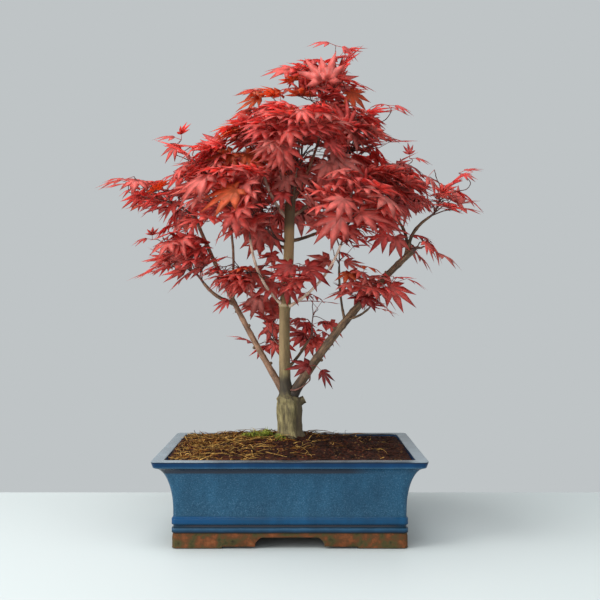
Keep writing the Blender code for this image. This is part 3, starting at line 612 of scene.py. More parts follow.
def glazed_stoneware():
    material, tree, shader = new_material("cobalt_glaze_on_stoneware")
    coordinates = object_place(tree)
    across, _, up = split_place(tree)
    shake = add_node(tree, "ShaderNodeTexNoise", inputs={
        "Vector": coordinates, "Scale": spots(14.3), "Detail": 3.0})
    height = calculated(tree, "MULTIPLY_ADD", shake.outputs["Fac"], 1.0 * MM, up)
    height = calculated(tree, "SUBTRACT", height, 0.5 * MM)
    share = calculated(tree, "DIVIDE", height, POT_HEIGHT)
    glaze = colour_steps(tree, share, [(up_mm * MM / POT_HEIGHT, colour) for up_mm, colour in GLAZE_AND_PAINTED_LIGHT_STOPS])
    # Pale and dark specks of about 1 mm where the glaze broke
    specks, _ = noise_colours(tree, coordinates, spots(1.111), 4.0, (
        (0.30, "#0E2A44"), (0.44, "#265472"), (0.55, "#316280"), (0.68, "#6890AA")), 0.7)
    glaze = mixed(tree, band(tree, height, *SPECKLED, 2.5 * MM, 0.5), glaze, specks)
    # Broad runs down the wall, taller than they are wide
    stretched = add_node(tree, "ShaderNodeMapping", inputs={"Vector": coordinates, "Scale": (1.0, 1.0, 0.35)})
    runs, _ = noise_colours(tree, stretched.outputs[0], spots(22.2), 5.0, (
        (0.30, "#A2A6AC"), (0.50, "#BFC4C8"), (0.70, "#E4E7EA")), 0.62)
    glaze = mixed(tree, 0.75, glaze, runs, "MULTIPLY")
    # Brown body showing in the undercut of the lip, less towards the right, and in the groove, with
    # painted shade in these recesses
    undercut_bare_and_shade = product(tree, band(tree, height, *UNDERCUT_BARE_AND_SHADED, 0.9 * MM),
                       smooth_step(tree, across, POT_X + 0.082, POT_X + 0.052))
    groove = product(tree, band(tree, height, *GROOVE_BARE_AND_SHADED, 0.35 * MM),
                     smooth_step(tree, calculated(tree, "ABSOLUTE", across), 0.108, 0.090))
    bare_body_and_shade = product(tree, calculated(tree, "MAXIMUM", undercut_bare_and_shade, groove), 0.88)
    glaze = mixed(tree, bare_body_and_shade, glaze, "#2C2E36")
    # A pool of strong cobalt in the band on the left
    pool = product(tree, band(tree, height, *COBALT_POOL, 1 * MM),
                   smooth_step(tree, across, POT_X - 0.035, POT_X - 0.095))
    glaze = mixed(tree, pool, glaze, "#083C62")
    # The rim's top is pale at the left and at the right end, where the glaze ran thin and where it
    # holds a painted reflection of the lights
    thin = calculated(tree, "MAXIMUM", smooth_step(tree, across, POT_X - 0.030, POT_X - 0.112),
                      smooth_step(tree, across, POT_X + 0.108, POT_X + 0.122))
    thin = product(tree, thin, smooth_step(tree, height, *RIM_TOP))
    milky_glaze_and_reflection = mixed(tree, 0.6, "#A2B0B8", runs, "MULTIPLY")
    glaze = mixed(tree, product(tree, thin, 0.55), glaze, milky_glaze_and_reflection)
    # Bare clay below the glaze line
    clay, _ = noise_colours(tree, coordinates, spots(10.5), 6.0, (
        (0.28, "#1E160E"), (0.42, "#3E3A20"), (0.52, "#50321C"), (0.64, "#6E3E22"), (0.8, "#785A3A")), 0.65)
    glazed = smooth_step(tree, height, *GLAZE_LINE)
    painted(tree, shader, mixed(tree, glazed, clay, glaze), GLAZE_ROUGHNESS, 0.16)
    gloss = add_node(tree, "ShaderNodeMapRange", inputs={
        "Value": glazed, "To Min": CLAY_ROUGHNESS, "To Max": GLAZE_ROUGHNESS})
    tree.links.new(gloss.outputs[0], shader.inputs["Roughness"])
    shader.inputs["IOR"].default_value = GLAZE_IOR
    # Grit in the clay, and a faint orange peel in the glaze
    peel = add_node(tree, "ShaderNodeTexNoise", inputs={
        "Vector": coordinates, "Scale": spots(2.38), "Detail": 3.0})
    relief = add_node(tree, "ShaderNodeMapRange", inputs={"Value": glazed, "To Min": 0.35, "To Max": 0.05})
    bumped(tree, shader, peel.outputs["Fac"], relief.outputs[0], 0.6 * MM)
    return material


pot.data.materials.clear()
pot.data.materials.append(glazed_stoneware())
dressed(pot, "glaze", "pot")

# %% [markdown]
# The root ball fills the pot. Its top is level near the rim and heaped towards the trunk, a
# little higher at the back left, and is rough with roots and bark. A grid is the right start for
# such a sheet: its corners are moved by a height rule, and its border is then extruded down along
# the inside of the pot and closed, so that the soil is a solid body and not a loose skin.

# %% Soil
SOIL_EDGE_DROP = 0.0022
SOIL_HEAP = 0.0122
SOIL_EDGE_INSET = 0.0014
SOIL_LEFT_RISE = 0.0024
# Where the rise on the left starts, from the pot's middle, and over what lengths it grows
RISE_STARTS, RISE_GROWS = (0.010, -0.075), (0.050, 0.075)
SOIL_FOOT_SPOT = 0.0185
SOIL_GRID = (150, 110)
STUMP_X = -0.0010
# Insets and heights from the soil's border down along the inside of the pot
SOIL_WALL = ((RIM_WIDTH + SOIL_EDGE_INSET, POT_HEIGHT - SOIL_EDGE_DROP), (0.0162, 0.0750),
             (0.0232, 0.0580), (0.0269, 0.0460), (0.0269, 0.0200))
# Lumps, as scale and depth in mm, and the share of the way from the edge where they calm down
SOIL_LUMPS = ((55, 2.0), (140, 1.5), (330, 1.1))
CALM_EDGE = 0.15


def soil_height(x, y):
    """Height of the soil at a place from the pot's middle, lumps and all."""
    away = math.hypot((x - STUMP_X) / (POT_LENGTH / 2), y / (POT_WIDTH / 2))
    spot = SOIL_FOOT_SPOT / (POT_LENGTH / 2)
    heap = SOIL_HEAP * clamped(1 - (away - spot) / (1 - spot)) ** 1.2
    leftwards = clamped((RISE_STARTS[0] - x) / RISE_GROWS[0])
    backwards = clamped((y - RISE_STARTS[1]) / RISE_GROWS[1])
    lumps = noise_sum(Vector((x, y, 0)), SOIL_LUMPS)
    rough = 0.35 + 0.65 * clamped((1 - away) / CALM_EDGE)
    left = SOIL_LEFT_RISE * leftwards * backwards
    return POT_HEIGHT - SOIL_EDGE_DROP + heap + left + lumps * MM * rough


def make_soil():
    soil = added(bpy.ops.mesh.primitive_grid_add, x_subdivisions=SOIL_GRID[0],
                 y_subdivisions=SOIL_GRID[1], size=2)
    half_x = POT_LENGTH / 2 - RIM_WIDTH - SOIL_EDGE_INSET
    half_y = POT_WIDTH / 2 - RIM_WIDTH - SOIL_EDGE_INSET
    for vert in soil.data.vertices:
        x, y = vert.co.x, vert.co.y
        # Only the corners are drawn in, to fit the rounded corners of the pot
        rounding = 1 - 0.012 * (abs(x) ** 14) * (abs(y) ** 14)
        x, y = x * half_x * rounding, y * half_y * rounding
        vert.co = (POT_X + x, POT_Y + y, soil_height(x, y))
    to_mode("EDIT")
    bpy.ops.mesh.select_mode(type="VERT")
    bpy.ops.mesh.select_all(action="DESELECT")
    bpy.ops.mesh.select_non_manifold()
    for stations in zip(SOIL_WALL, SOIL_WALL[1:]):
        extrude_on(*stations)
    bpy.ops.mesh.edge_face_add()
    bpy.ops.mesh.select_all(action="SELECT")
    bpy.ops.mesh.normals_make_consistent(inside=False)
    settle(soil, "root_ball_soil")
    soil.data.shade_smooth()
    return soil


def potting_soil():
    """Peat and bark gone dark and reddish with water: dull, crumbly, with paler dry crumbs."""
    material, tree, shader = new_material("peat_and_bark_soil")
    colour, crumbs = noise_colours(tree, object_place(tree), spots(3.85), 8.0, (
        (0.30, "#0D0604"), (0.45, "#22100A"), (0.56, "#3A1B10"), (0.66, "#552D1A"), (0.80, "#806036")), 0.72)
    painted(tree, shader, colour, 0.95, 0.15)
    bumped(tree, shader, crumbs, 0.9, 2 * MM)
    return material


soil = make_soil()
soil.data.materials.append(potting_soil())
dressed(soil, "soil", "soil")

# %% [markdown]
# Dry grass fibres, crumbs of bark and a little live moss lie on the soil. There are thousands of
# them, so one of each is modelled and then dealt out as arrays of corners: each copy is
# turned, sized, bent and laid on the soil, and all copies of a kind are one mesh in the end.
# Blender's particles would be quicker to set up, but they don't survive an export.

# %% Helpers for joined copies
def taken_pattern(obj):
    """A modelled pattern as an array of corners and a list of faces; the object is removed."""
    corners = np.array([vert.co[:] for vert in obj.data.vertices])
    faces = [tuple(face.vertices) for face in obj.data.polygons]
    bpy.data.objects.remove(obj, do_unlink=True)
    return corners, faces


def joined_copies(name, batches, materials):
    """One object from batches of copies; a batch is the corners of its copies, the faces of its
    pattern, and for each copy the number of its material."""
    corners, faces, kinds = [], [], []
    for copies, pattern_faces, copy_kinds in batches:
        for copy, kind in zip(copies.tolist(), copy_kinds):
            faces += [[len(corners) + corner for corner in face] for face in pattern_faces]
            kinds += [int(kind)] * len(pattern_faces)
            corners += copy
    mesh = bpy.data.meshes.new(name)
    mesh.from_pydata(corners, [], faces, shade_flat=False)
    for material in materials:
        mesh.materials.append(material)
    mesh.polygons.foreach_set("material_index", kinds)
    mesh.validate()
    obj = bpy.data.objects.new(name, mesh)
    bpy.context.scene.collection.objects.link(obj)
    return obj


def strand_pattern(sides=3, steps=4):
    """A strand of length 1 along +Z with a radius of 1, closed at both ends."""
    strand = settle(added(bpy.ops.mesh.primitive_cylinder_add, vertices=sides, radius=1, depth=1,
                          location=(0, 0, 0.5)), "strand")
    edit_edges(strand, lengthwise)
    bpy.ops.mesh.subdivide(number_cuts=steps - 1)
    to_mode("OBJECT")
    return taken_pattern(strand)


def unit(rows):
    return rows / np.maximum(np.linalg.norm(rows, axis=1, keepdims=True), 1e-9)


def frames_along(ways, chance):
    """For each way a matrix whose columns are side, other side and the way itself."""
    ways = unit(ways)
    side = unit(np.cross(chance.normal(size=ways.shape), ways))
    return np.stack([side, np.cross(ways, side), ways], axis=2)


def turned(local, frames, places):
    """Corners of each copy turned by its frame and moved to its place."""
    return np.einsum("nij,nkj->nki", frames, local) + places[:, None]


def bent_strands(pattern, starts, ways, lengths, radii, bends, taper=0.4):
    """Copies of the strand pattern from their starts along their ways; bends are offsets that
    grow with the square of the length run."""
    share = pattern[:, 2]
    thin = 1 - (1 - taper) * share
    local = np.stack([pattern[:, 0] * thin, pattern[:, 1] * thin, share], axis=1)
    sized = local[None] * np.stack([radii, radii, lengths], axis=1)[:, None, :]
    return turned(sized, ways, starts) + bends[:, None, :] * (share ** 2)[None, :, None]


# %% Dry fibres, crumbs and moss
SOIL_SEED = 11
FIBRES = 2400
CRUMBS = 1500
MOSS_BLADES = 640
# Place from the pot's middle, radius and height of each tuft of moss
MOSS_SPOTS = ((-0.038, 0.002, 0.008, 0.0060), (-0.024, -0.002, 0.006, 0.0065),
              (-0.011, -0.018, 0.005, 0.0050), (-0.047, 0.008, 0.005, 0.0035),
              (-0.030, -0.010, 0.004, 0.0040))
# Litter starts within the first distances from the pot's middle, across and in depth, and its
# ends stay within the second; round the stump there is a bare ring
LITTER_STARTS, LITTER_REACH = (0.113, 0.080), (0.1155, 0.083)
STUMP_RING = 0.015
FIBRE_LENGTH, FIBRE_RADIUS = (0.007, 0.026), (0.00026, 0.00064)
CRUMB_SIZE = (0.0006, 0.0019)
MOSS_RADIUS = 0.00048
STRAW, TAN, BROWN_ROOT, RED_ROOT = range(4)


def dry_matter(name, hex_value, roughness=0.9):
    """Dead grass or bark: dull, a little uneven from one end to the other."""
    material, tree, shader = new_material(name)
    shade, _ = noise_colours(tree, object_place(tree), spots(6.25), 3.0, (
        (0.35, "#8A8A8A"), (0.65, "#FFFFFF")))
    painted(tree, shader, mixed(tree, 1.0, hex_value, shade, "MULTIPLY"), roughness, 0.2)
    return material


def on_soil(x, y):
    return np.array([[POT_X + a, POT_Y + b, soil_height(a, b)] for a, b in zip(x, y)])


def soil_places(count, chance):
    """Random places on the soil, clear of the stump."""
    places = []
    while len(places) < count:
        x, y = (chance.uniform(-reach, reach) for reach in LITTER_STARTS)
        if math.hypot(x - STUMP_X, y) > STUMP_RING:
            places.append((x, y))
    return np.array(places).T


def make_fibres():
    chance = np.random.default_rng(SOIL_SEED)
    pattern, faces = strand_pattern()
    x, y = soil_places(FIBRES, chance)
    # Straw lies thickest on the left and along the middle, bare red crumbs at the back right
    strawy = np.clip(0.62 - x / 0.13 + y / 0.40, 0.08, 1.0)
    kept = chance.random(FIBRES) < 0.25 + 0.75 * strawy
    x, y, strawy = x[kept], y[kept], strawy[kept]
    count = len(x)
    turn = chance.uniform(0, 2 * math.pi, count)
    rise = np.abs(chance.normal(0.20, 0.30, count))
    ways = np.stack([np.cos(turn), np.sin(turn), rise], axis=1)
    lengths = chance.uniform(*FIBRE_LENGTH, count)
    radii = chance.uniform(*FIBRE_RADIUS, count)
    starts = on_soil(x, y) + np.array([0, 0, 0.3 * MM])
    bends = chance.normal(size=(count, 3)) * lengths[:, None] * 0.30
    bends[:, 2] = -np.abs(bends[:, 2]) * 0.6 - rise * lengths * 0.55
    corners = bent_strands(pattern, starts, frames_along(ways, chance), lengths, radii, bends)
    # No strand dives under the soil or through the rim
    flat = corners.reshape(-1, 3)
    floor = np.array([soil_height(a, b) for a, b in zip(flat[:, 0] - POT_X, flat[:, 1] - POT_Y)])
    flat[:, 2] = np.maximum(flat[:, 2], floor - 0.2 * MM)
    for axis, (middle, reach) in enumerate(zip((POT_X, POT_Y), LITTER_REACH)):
        flat[:, axis] = np.clip(flat[:, axis], middle - reach, middle + reach)
    draw = chance.random(count)
    kinds = np.select([draw < 0.38 * strawy, draw < 0.80 * strawy, draw < 0.9],
                      [STRAW, TAN, BROWN_ROOT], RED_ROOT)
    materials = [dry_matter("straw_fibre", "#C0964F"), dry_matter("tan_fibre", "#86561F"),
                 dry_matter("brown_root_fibre", "#341A0F"), dry_matter("red_root_fibre", "#552415")]
    return joined_copies("dry_fibres", [(corners, faces, kinds)], materials)


def make_crumbs():
    chance = np.random.default_rng(SOIL_SEED + 1)
    crumb = added(bpy.ops.mesh.primitive_ico_sphere_add, subdivisions=1, radius=1)
    to_mode("EDIT")
    bpy.ops.transform.vertex_random(offset=0.35, seed=3)
    pattern, faces = taken_pattern(settle(crumb, "crumb"))
    x, y = soil_places(CRUMBS, chance)
    sizes = chance.uniform(*CRUMB_SIZE, (CRUMBS, 1)) * chance.uniform(0.5, 1.0, (CRUMBS, 3))
    frames = frames_along(chance.normal(size=(CRUMBS, 3)), chance)
    corners = turned(pattern[None] * sizes[:, None, :], frames, on_soil(x, y))
    kinds = chance.integers(0, 3, CRUMBS)
    materials = [dry_matter("dark_bark_crumb", "#22120B"), dry_matter("red_bark_crumb", "#522818"),
                 dry_matter("dry_bark_crumb", "#6E5030")]
    return joined_copies("bark_crumbs", [(corners, faces, kinds)], materials)


def make_moss():
    chance = np.random.default_rng(SOIL_SEED + 2)
    pattern, faces = strand_pattern(steps=2)
    spots = np.array(MOSS_SPOTS)
    spot = spots[chance.integers(0, len(spots), MOSS_BLADES)]
    away = chance.normal(size=(MOSS_BLADES, 2)) * spot[:, 2:3] * 0.5
    x, y = spot[:, 0] + away[:, 0], spot[:, 1] + away[:, 1]
    ways = np.stack([chance.normal(0, 0.6, MOSS_BLADES), chance.normal(0, 0.6, MOSS_BLADES),
                     np.full(MOSS_BLADES, 1.0)], axis=1)
    middle = np.exp(-(np.linalg.norm(away, axis=1) / spot[:, 2]) ** 2)
    lengths = spot[:, 3] * (0.45 + 0.75 * middle) * chance.uniform(0.6, 1.2, MOSS_BLADES)
    frames = frames_along(ways, chance)
    bends = chance.normal(size=(MOSS_BLADES, 3)) * 0.8 * MM
    corners = bent_strands(pattern, on_soil(x, y) - np.array([0, 0, 0.4 * MM]), frames, lengths,
                           np.full(MOSS_BLADES, MOSS_RADIUS), bends, 0.1)
    kinds = chance.integers(0, 3, MOSS_BLADES)
    materials = [dry_matter("bright_moss", "#AEB843", 0.7), dry_matter("green_moss", "#8A9630", 0.7),
                 dry_matter("deep_moss", "#4F6020", 0.75)]
    return joined_copies("moss_tufts", [(corners, faces, kinds)], materials)


for piece in (make_fibres(), make_crumbs(), make_moss()):
    dressed(piece, "soil")

# %% [markdown]
# The plant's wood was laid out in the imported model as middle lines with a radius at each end:
# the trunk as level rings, and every limb as a bent line from its parent to its tip. The same
# tables are written again here, because the bark, the twigs and the leaves grow on from them.

# %% The plan of the trunk and the limbs
FLUTES = 5
SOIL_LEVEL = POT_HEIGHT - SOIL_EDGE_DROP + SOIL_HEAP
HEIGHT, ACROSS, RADIUS, FLUTING = range(4)
# Height, sideways place, radius and depth of fluting, from the foot up
TRUNK = (
    (SOIL_LEVEL - 0.0030, -0.0010, 0.0170, 0.16),
    (SOIL_LEVEL + 0.0003, -0.0010, 0.0156, 0.14),
    (0.1010, -0.0010, 0.0124, 0.10),
    (0.1130, -0.0014, 0.0122, 0.06),
    (0.1250, -0.0020, 0.0130, 0.06),
    (0.1335, -0.0024, 0.0122, 0.05),
    (0.1390, -0.0044, 0.0078, 0.03),
    (0.1530, -0.0060, 0.0059, 0.0),
    (0.1940, -0.0065, 0.0056, 0.0),
    (0.2230, -0.0063, 0.0055, 0.0),
    (0.2300, -0.0059, 0.0064, 0.0),
    (0.2370, -0.0054, 0.0055, 0.0),
    (0.2770, -0.0022, 0.0053, 0.0),
    (0.3150, -0.0013, 0.0052, 0.0),
    (0.3280, -0.0009, 0.0056, 0.0),
    (0.3418, -0.0003, 0.0050, 0.0),
)
# Name, parent, place on the parent (a height on the trunk, a share of a limb), tip, bow, radii
LIMB_PLANS = (
    ("left_bough", "trunk", 133, (-96, 8, 313), (-4, 0, -1), 3.6, 1.7),
    ("right_bough", "trunk", 131, (124, -8, 285), (-5, 0, 5), 4.9, 3.1),
    ("left_low_branch", "left_bough", 0.555, (-90, 2, 253), (-2, 0, -3), 2.2, 1.5),
    ("left_inner_branch", "left_bough", 0.6, (-64, -4, 322), (4, 0, 0), 1.4, 1.1),
    ("left_front_branch", "left_bough", 0.575, (-44, -16, 262), (-3, 0, 2), 1.3, 1.1),
    ("right_shoulder_branch", "right_bough", 0.955, (107, 2, 322), (6, 0, 2), 1.8, 1.3),
    ("right_wing_branch", "right_bough", 0.975, (143, 2, 321), (-6, 0, 2), 2, 1.4),
    ("low_right_branch", "right_bough", 0.52, (78, -22, 226), (0, -2, -2), 1.3, 1.1),
    ("right_inner_branch", "right_bough", 0.5, (50, -4, 270), (-2, 0, 2), 1.3, 1),
    ("mid_left_branch", "trunk", 229, (-40, -34, 296), (-6, -2, -6), 1.7, 1.2),
    ("mid_right_branch", "trunk", 226.5, (50, -36, 290), (6, -2, -6), 1.6, 1.1),
    ("low_back_branch", "trunk", 162, (18, 22, 192), (1, 0, -1), 1.8, 1.3),
    ("top_left_branch", "trunk", 317, (-30, -3, 374), (-4, 0, -3), 1.8, 1.3),
    ("top_leader", "trunk", 333, (32, 0, 412), (2, 0, -4), 1.8, 1.2),
    ("top_right_branch", "trunk", 320, (52, 4, 374), (3, 0, -4), 1.7, 1.2),
    ("top_front_branch", "trunk", 326, (6, -36, 360), (0, -3, -3), 1.5, 1.1),
    ("top_back_branch", "trunk", 326, (10, 40, 384), (0, 3, -3), 1.6, 1.1),
    ("back_left_branch", "trunk", 288, (-50, 48, 324), (-3, 3, -4), 1.8, 1.3),
    ("back_right_branch", "trunk", 296, (56, 48, 328), (3, 3, -4), 1.8, 1.3),
    ("back_branch", "trunk", 270, (-4, 56, 318), (0, 4, -4), 1.6, 1.2),
)
Limb = namedtuple("Limb", "parent leaves_at tip bow root_radius tip_radius")
LIMBS = {
    name: Limb(parent, leaves_at / 1000 if parent == "trunk" else leaves_at,
               Vector(mm(*tip)), Vector(mm(*bow)), *mm(*radii))
    for name, parent, leaves_at, tip, bow, *radii in LIMB_PLANS}


def at_height(height, column):
    """A value of the trunk's table at any height."""
    return float(np.interp(height, [ring[HEIGHT] for ring in TRUNK], [ring[column] for ring in TRUNK]))


def trunk_middle(height):
    return Vector((at_height(height, ACROSS), 0, height))


def bent_line(start, middle, end, share):
    """A point of the quadratic curve through three steering points."""
    return start.lerp(middle, share).lerp(middle.lerp(end, share), share)


def along(line, share):
    """The point and the direction at a share of a line."""
    place = share * (len(line) - 1)
    number = min(int(place), len(line) - 2)
    ahead = (line[number + 1] - line[number]).normalized()
    return line[number].lerp(line[number + 1], place - number), ahead


LINE_STEPS = 30
limb_lines = {}
for name, limb in LIMBS.items():
    if limb.parent == "trunk":
        start = trunk_middle(limb.leaves_at)
    else:
        start = along(limb_lines[limb.parent], limb.leaves_at)[0]
    middle = (start + limb.tip) / 2 + 2 * limb.bow
    limb_lines[name] = [bent_line(start, middle, limb.tip, step / LINE_STEPS)
                        for step in range(LINE_STEPS + 1)]
print(len(limb_lines), "limbs planned")

# %% [markdown]
# Bark is a tube with a history: ring scars where each year's growth ended, pairs of bud scars,
# dents, and flutes where stems have fused. Each tube starts as a cylinder. Its upright edges are
# subdivided into rings, and every corner is then moved to its place along the limb's line, with
# the relief as part of its radius. An attribute keeps where each corner lies round and along the
# limb, so that the bark's pattern can follow the wood round every bend.

# %% Helpers for bark tubes
# A way that no limb runs in, from which the ways to a limb's sides are found
ASKEW = Vector((0.13, 0.94, 0.31))


def line_frames(line):
    """At each point of a line: two sideways directions that turn with it as little as they can."""
    ahead = (line[1] - line[0]).normalized()
    side = ahead.cross(ASKEW).normalized()
    frames = []
    for number in range(len(line)):
        _, ahead = along(line, number / (len(line) - 1))
        side = (side - ahead * side.dot(ahead)).normalized()
        frames.append((side.copy(), ahead.cross(side)))
    return frames


def bark_tube(name, line, radius_at, sides, rings, level_rings=False):
    """A closed tube along a line; radius_at(share, angle) gives its radius, relief and all."""
    tube = settle(added(bpy.ops.mesh.primitive_cylinder_add, vertices=sides, radius=1, depth=1,
                        location=(0, 0, 0.5), end_fill_type="TRIFAN"), name)
    edit_edges(tube, lengthwise)
    bpy.ops.mesh.subdivide(number_cuts=rings - 1)
    to_mode("OBJECT")
    frames = line_frames(line)
    lengths = np.concatenate([[0], np.cumsum([(b - a).length for a, b in zip(line, line[1:])])])
    grain = tube.data.attributes.new("grain", "FLOAT_VECTOR", "POINT")
    for vert in tube.data.vertices:
        share = clamped(vert.co.z)
        angle = math.atan2(vert.co.y, vert.co.x)
        centre, _ = along(line, share)
        place = share * (len(line) - 1)
        number = min(int(place), len(line) - 2)
        side = frames[number][0].lerp(frames[number + 1][0], place - number)
        other = frames[number][1].lerp(frames[number + 1][1], place - number)
        if level_rings:
            side, other = Vector((1, 0, 0)), Vector((0, 1, 0))
        outward = side * math.cos(angle) + other * math.sin(angle)
        radius = radius_at(share, angle) * min(1.0, math.hypot(vert.co.x, vert.co.y))
        run = float(np.interp(place, range(len(line)), lengths))
        grain.data[vert.index].vector = (radius * math.cos(angle), radius * math.sin(angle), run)
        vert.co = HOME + centre + outward * radius
    tube.data.update()
    pick(tube)
    bpy.ops.object.shade_smooth_by_angle(angle=math.radians(50))
    return tube


def joined(name, pieces):
    start_fresh()
    for piece in pieces:
        piece.select_set(True)
    bpy.context.view_layer.objects.active = pieces[0]
    bpy.ops.object.join()
    pieces[0].name = name
    pieces[0].data.name = name
    return pieces[0]


def bump_at(value, middle, width):
    """A smooth hump of height 1."""
    return math.exp(-((value - middle) / width) ** 2)


def round_noise(size, angle, up):
    """Noise on a circle, so that it closes round a stem."""
    return noise.noise(Vector((size * math.cos(angle), size * math.sin(angle), up)))


# %% [markdown]
# The trunk is two stems that have grown together: a thick fluted stump and, behind its right
# shoulder, a second one, painted darker as shade. They end at a swollen collar, above which the straight
# leader goes on.
# On the right a pruned stub shows its pale cut, and the leader has a ring of scars half way up.

# %% Trunk
TRUNK_SIDES, TRUNK_RINGS = 56, 190
COLLAR = 0.1335
STUMP_TOP = 0.136
# Height and rise of the rings of scars
LEADER_RINGS = ((0.1700, 0.00025), (0.2300, 0.0011), (0.2560, 0.00025), (0.2900, 0.00030))
# The pruned stub: height, lean and length
STUB_HEIGHT, STUB_LEAN, STUB_LENGTH = 0.1245, math.radians(62), 0.0185
STUB_ROOT_RADIUS, STUB_TAPER = 0.0058, 0.0018


def trunk_radius(share, angle):
    height = TRUNK[0][HEIGHT] + (TRUNK[-1][HEIGHT] - TRUNK[0][HEIGHT]) * share
    wander = 0.25 * noise.noise(Vector((0, 0, height * 60)))
    flutes = at_height(height, FLUTING) * math.cos(FLUTES * angle + 0.6 + wander)
    radius = at_height(height, RADIUS) * (1 + flutes)
    stump = 1 / (1 + math.exp((height - STUMP_TOP) / 0.0018))
    # Ropy ridges up the stump and fine furrows over the whole
    radius += stump * 0.0011 * round_noise(3.2, angle, height * 38)
    radius += stump * 0.0006 * round_noise(8, angle, height * 110)
    radius += (0.00022 + 0.0002 * stump) * round_noise(11, angle, height * 260)
    # The crease between the two fused stems, on the front right
    crease = bump_at((angle + 0.86 + math.pi) % (2 * math.pi) - math.pi, 0, 0.13)
    radius -= stump * 0.0026 * crease
    # The swollen collar with the crease under it
    radius += 0.0009 * bump_at(height, COLLAR + 0.0012 * math.sin(2 * angle), 0.0016)
    radius -= 0.0008 * bump_at(height, COLLAR - 0.0040 + 0.0014 * math.sin(2 * angle + 1), 0.0011)
    for ring, rise in LEADER_RINGS:
        radius += 0.35 * rise * bump_at(height, ring + 0.0006 * math.sin(angle + ring * 900), 0.0011)
    return radius


def stub_radius(share, angle):
    return STUB_ROOT_RADIUS - STUB_TAPER * share + 0.4 * MM * round_noise(2, angle, share * 4)


trunk_line = [trunk_middle(height)
              for height in np.linspace(TRUNK[0][HEIGHT], TRUNK[-1][HEIGHT], TRUNK_RINGS + 1)]
trunk = bark_tube("trunk_bark_and_wood", trunk_line, trunk_radius, TRUNK_SIDES, TRUNK_RINGS,
                  level_rings=True)
stub_way = Vector((math.sin(STUB_LEAN), 0, math.cos(STUB_LEAN)))
stub_start = trunk_middle(STUB_HEIGHT)
stub_line = [stub_start + stub_way * STUB_LENGTH * step / 8 for step in range(9)]
stub = bark_tube("stub", stub_line, stub_radius, 24, 16)
print("trunk", triangles(trunk), "triangles")


# %% [markdown]
# Maple bark is thin and satiny on young wood and dull, grey-green and cracked on old wood. One
# function makes all of it from four named colours: noise drawn out along the grain gives the
# broad streaks, a finer one the cracks, and small pale dots are the pores. The stump's material
# adds painted shade on its second stem and at the collar and painted light on the leader, and the
# stub's pale cut faces are chosen by their place on the plant.

# %% Bark
def bark(name, crack, dark, middle, light, streak_mm, roughness=0.8, dots=0.35, depth_mm=0.5):
    """The material with its bark colour already linked, and the colour to build on."""
    material, tree, shader = new_material(name)
    grain = add_node(tree, "ShaderNodeAttribute", {"attribute_name": "grain"}).outputs["Vector"]
    drawn_out = add_node(tree, "ShaderNodeMapping", inputs={"Vector": grain, "Scale": (1.0, 1.0, 0.16)})
    colour, streaks = noise_colours(tree, drawn_out.outputs[0], 1 / (streak_mm * MM), 6.0, (
        (0.30, crack), (0.40, dark), (0.53, middle), (0.70, light)), 0.65)
    patches, _ = noise_colours(tree, grain, spots(11.1), 3.0, ((0.35, "#A8A49C"), (0.60, "#FFFFFF")))
    colour = mixed(tree, 0.8, colour, patches, "MULTIPLY")
    pores = add_node(tree, "ShaderNodeTexVoronoi", inputs={"Vector": grain, "Scale": spots(1.613)})
    dotted = add_node(tree, "ShaderNodeMapRange", inputs={
        "Value": pores.outputs["Distance"], "From Min": 0.10, "From Max": 0.22,
        "To Min": dots, "To Max": 0.0})
    colour = mixed(tree, dotted.outputs[0], colour, light)
    painted(tree, shader, colour, roughness)
    bumped(tree, shader, streaks, 0.8, depth_mm * MM)
    return material, tree, shader, colour


def trunk_bark():
    """Olive-grey bark with painted shade where the leader leaves the collar, darker near its top, a
    second stem on the right painted dark as shade, and a pale ring of scars on the leader."""
    material, tree, shader, colour = bark(
        "olive_maple_bark", "#2E281C", "#564D32", "#776C47", "#988E62", 2.6, depth_mm=0.8)
    across, _, height = split_place(tree)
    leader = smooth_step(tree, height, 0.150, 0.176)
    colour = mixed(tree, leader, colour, mixed(tree, 0.6, colour, "#6E5739"))
    # The leader's left side is painted paler than its right one: painted light from the left
    lit_left_side = product(tree, leader, smooth_step(tree, across, POT_X - 0.0052, POT_X - 0.0090))
    colour = mixed(tree, product(tree, lit_left_side, 0.32), colour, "#A68E66")
    # Higher up it is painted lighter: painted light where the crown shades the leader
    painted_light_higher_up = product(tree, smooth_step(tree, height, 0.236, 0.264), 0.5)
    colour = mixed(tree, painted_light_higher_up, colour, "#B4986A")
    # Painted shade where the leader leaves the collar, and a darker band near its top
    for low, high, strength in ((0.138, 0.157, 0.9), (0.310, 0.345, 0.7)):
        colour = mixed(tree, band(tree, height, low, high, 0.006, strength), colour, "#261E16")
    # Painted shade on the second stem behind the stump's right shoulder
    shaded_second_stem = product(tree, smooth_step(tree, across, POT_X + 0.0035, POT_X + 0.0070),
                         smooth_step(tree, height, 0.138, 0.131))
    colour = mixed(tree, product(tree, shaded_second_stem, 0.75), colour, "#3E3224")
    ring = LEADER_RINGS[1][0]
    colour = mixed(tree, band(tree, height, ring - 0.0012, ring + 0.0012, 0.001, 0.5), colour, "#C9BC98")
    painted(tree, shader, colour, 0.8)
    return material


def mottled_wood(name, size_mm, roughness, *stops):
    """Wood without a grain: one noise between a few colours."""
    material, tree, shader = new_material(name)
    colour, _ = noise_colours(tree, object_place(tree), spots(size_mm), 4.0, stops)
    painted(tree, shader, colour, roughness)
    return material


olive_bark = trunk_bark()
tan_bark = bark("pinkish_tan_bark", "#553A2C", "#74533E", "#8C6950", "#A8866E", 2.2, roughness=0.7)[0]
brown_bark, brown_tree, brown_shader, brown = bark(
    "olive_brown_bark", "#2B2018", "#4C3A2A", "#6C523A", "#8A6E50", 2.2, roughness=0.75)
